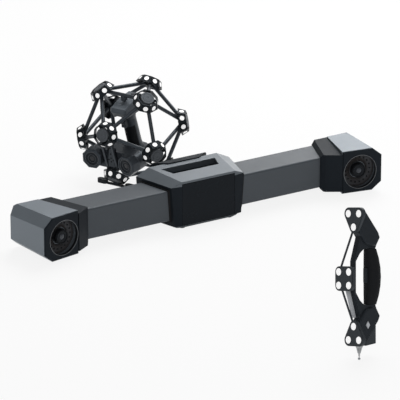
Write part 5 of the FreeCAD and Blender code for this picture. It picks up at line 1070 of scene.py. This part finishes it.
FLOOR_SIZE = 60
FLOOR_GLOW = 0.86
CAMERA_AIM = Vector((-26.09, -58.0, 69.70)) * MM
LAMP_AIM = Vector((0, -0.25, 0.1))
# Name, place and size in metres, and power in watts
LAMPS = (("back_lamp", (4.8, 4.3, 2.1), 3.8, 115),
         ("top_lamp", (1.3, 1.0, 3.0), 2.4, 92),
         ("front_lamp", (-2.6, -5.0, 3.0), 3.0, 60))


def looking_at(place, aim):
    """Turn of a lamp or camera at a place that looks at an aim."""
    return (Vector(place) - aim).to_track_quat("Z", "Y").to_euler()


class SCANSET_OT_stage(bpy.types.Operator):
    """Pale floor, soft studio light and the camera of the photograph."""
    bl_idname = "scanset.stage"
    bl_label = "Stage"

    def floor(self, lightness):
        """Floor that the camera sees as nearly white and that keeps the shadow."""
        piece = primitive(bpy.ops.mesh.primitive_plane_add, "floor", size=FLOOR_SIZE)
        finish = Finish("floor_white", (lightness, lightness, lightness), roughness=0.9)
        camera, glossy, transmission = (
            finish.node("ShaderNodeLightPath", output=f"Is {kind} Ray")
            for kind in ("Camera", "Glossy", "Transmission"))
        glow = finish.node("ShaderNodeEmission", {"Color": WHITE, "Strength": 1.0})
        lit = Term(finish.tree, finish.shader.outputs[0])
        shown = finish.node("ShaderNodeMixShader", {
            0: FLOOR_GLOW * (camera + glossy + transmission), 1: lit, 2: glow})
        output = finish.tree.nodes["Material Output"]
        finish.tree.links.new(shown.socket, output.inputs["Surface"])
        piece.data.materials.append(finish.material)

    def lamp(self, name, place, size, power):
        """Large soft lamp that looks at the instruments."""
        data = bpy.data.lights.new(name, "AREA")
        data.shape = "SQUARE"
        data.size = size
        data.energy = power
        lamp = linked(name, data)
        lamp.location = place
        lamp.rotation_euler = looking_at(place, LAMP_AIM)

    def camera(self, settings):
        """Camera at the photograph's viewing angle."""
        data = bpy.data.cameras.new("photo_camera")
        data.sensor_width = 36
        data.lens = settings.lens
        data.clip_start = 0.1
        data.clip_end = 200
        level = settings.distance * math.cos(settings.elevation)
        camera = linked("photo_camera", data)
        camera.location = CAMERA_AIM + Vector((level * math.sin(settings.azimuth),
                                               -level * math.cos(settings.azimuth),
                                               settings.distance * math.sin(settings.elevation)))
        camera.rotation_euler = looking_at(camera.location, CAMERA_AIM)
        bpy.context.scene.camera = camera

    def execute(self, context):
        settings = looks("stage")
        self.floor(settings.floor)
        for lamp in LAMPS:
            self.lamp(*lamp)
        world = bpy.data.worlds.new("studio")
        world.use_nodes = True
        background = world.node_tree.nodes["Background"]
        background.inputs["Color"].default_value = WHITE
        background.inputs["Strength"].default_value = settings.daylight
        context.scene.world = world
        context.scene.view_settings.view_transform = "Standard"
        self.camera(settings)
        return {"FINISHED"}


class SCANSET_PT_panel(bpy.types.Panel):
    """Lists the operators and settings of the set."""
    bl_idname = "SCANSET_PT_panel"
    bl_label = "Scanner set"
    bl_space_type = "VIEW_3D"
    bl_region_type = "UI"
    bl_category = "Scanner set"

    def draw(self, context):
        for operator in OPERATORS:
            self.layout.operator(operator.bl_idname)
        for name, group in GROUPS.items():
            column = self.layout.column(heading=name.title())
            for setting in group.__annotations__:
                column.prop(looks(name), setting)


OPERATORS = (SCANSET_OT_housings, SCANSET_OT_lenses, SCANSET_OT_fittings, SCANSET_OT_cage,
             SCANSET_OT_scanner, SCANSET_OT_probe, SCANSET_OT_stage)
GROUPS = {"tracker": TrackerLooks, "scanner": ScannerLooks, "probe": ProbeLooks,
          "stage": StageLooks}


def register():
    """Registers the settings, the operators and the panel."""
    for kind in (*GROUPS.values(), *OPERATORS, SCANSET_PT_panel):
        bpy.utils.register_class(kind)
    for name, group in GROUPS.items():
        setattr(bpy.types.Scene, f"scanner_set_{name}", PointerProperty(type=group))


def unregister():
    """Takes back what register does."""
    for name in GROUPS:
        delattr(bpy.types.Scene, f"scanner_set_{name}")
    for kind in (SCANSET_PT_panel, *reversed(OPERATORS), *GROUPS.values()):
        bpy.utils.unregister_class(kind)


def main():
    """Makes the pieces and the stage."""
    register()
    for operator in OPERATORS:
        group, name = operator.bl_idname.split(".")
        getattr(getattr(bpy.ops, group), name)()


if __name__ == "__main__":
    main()
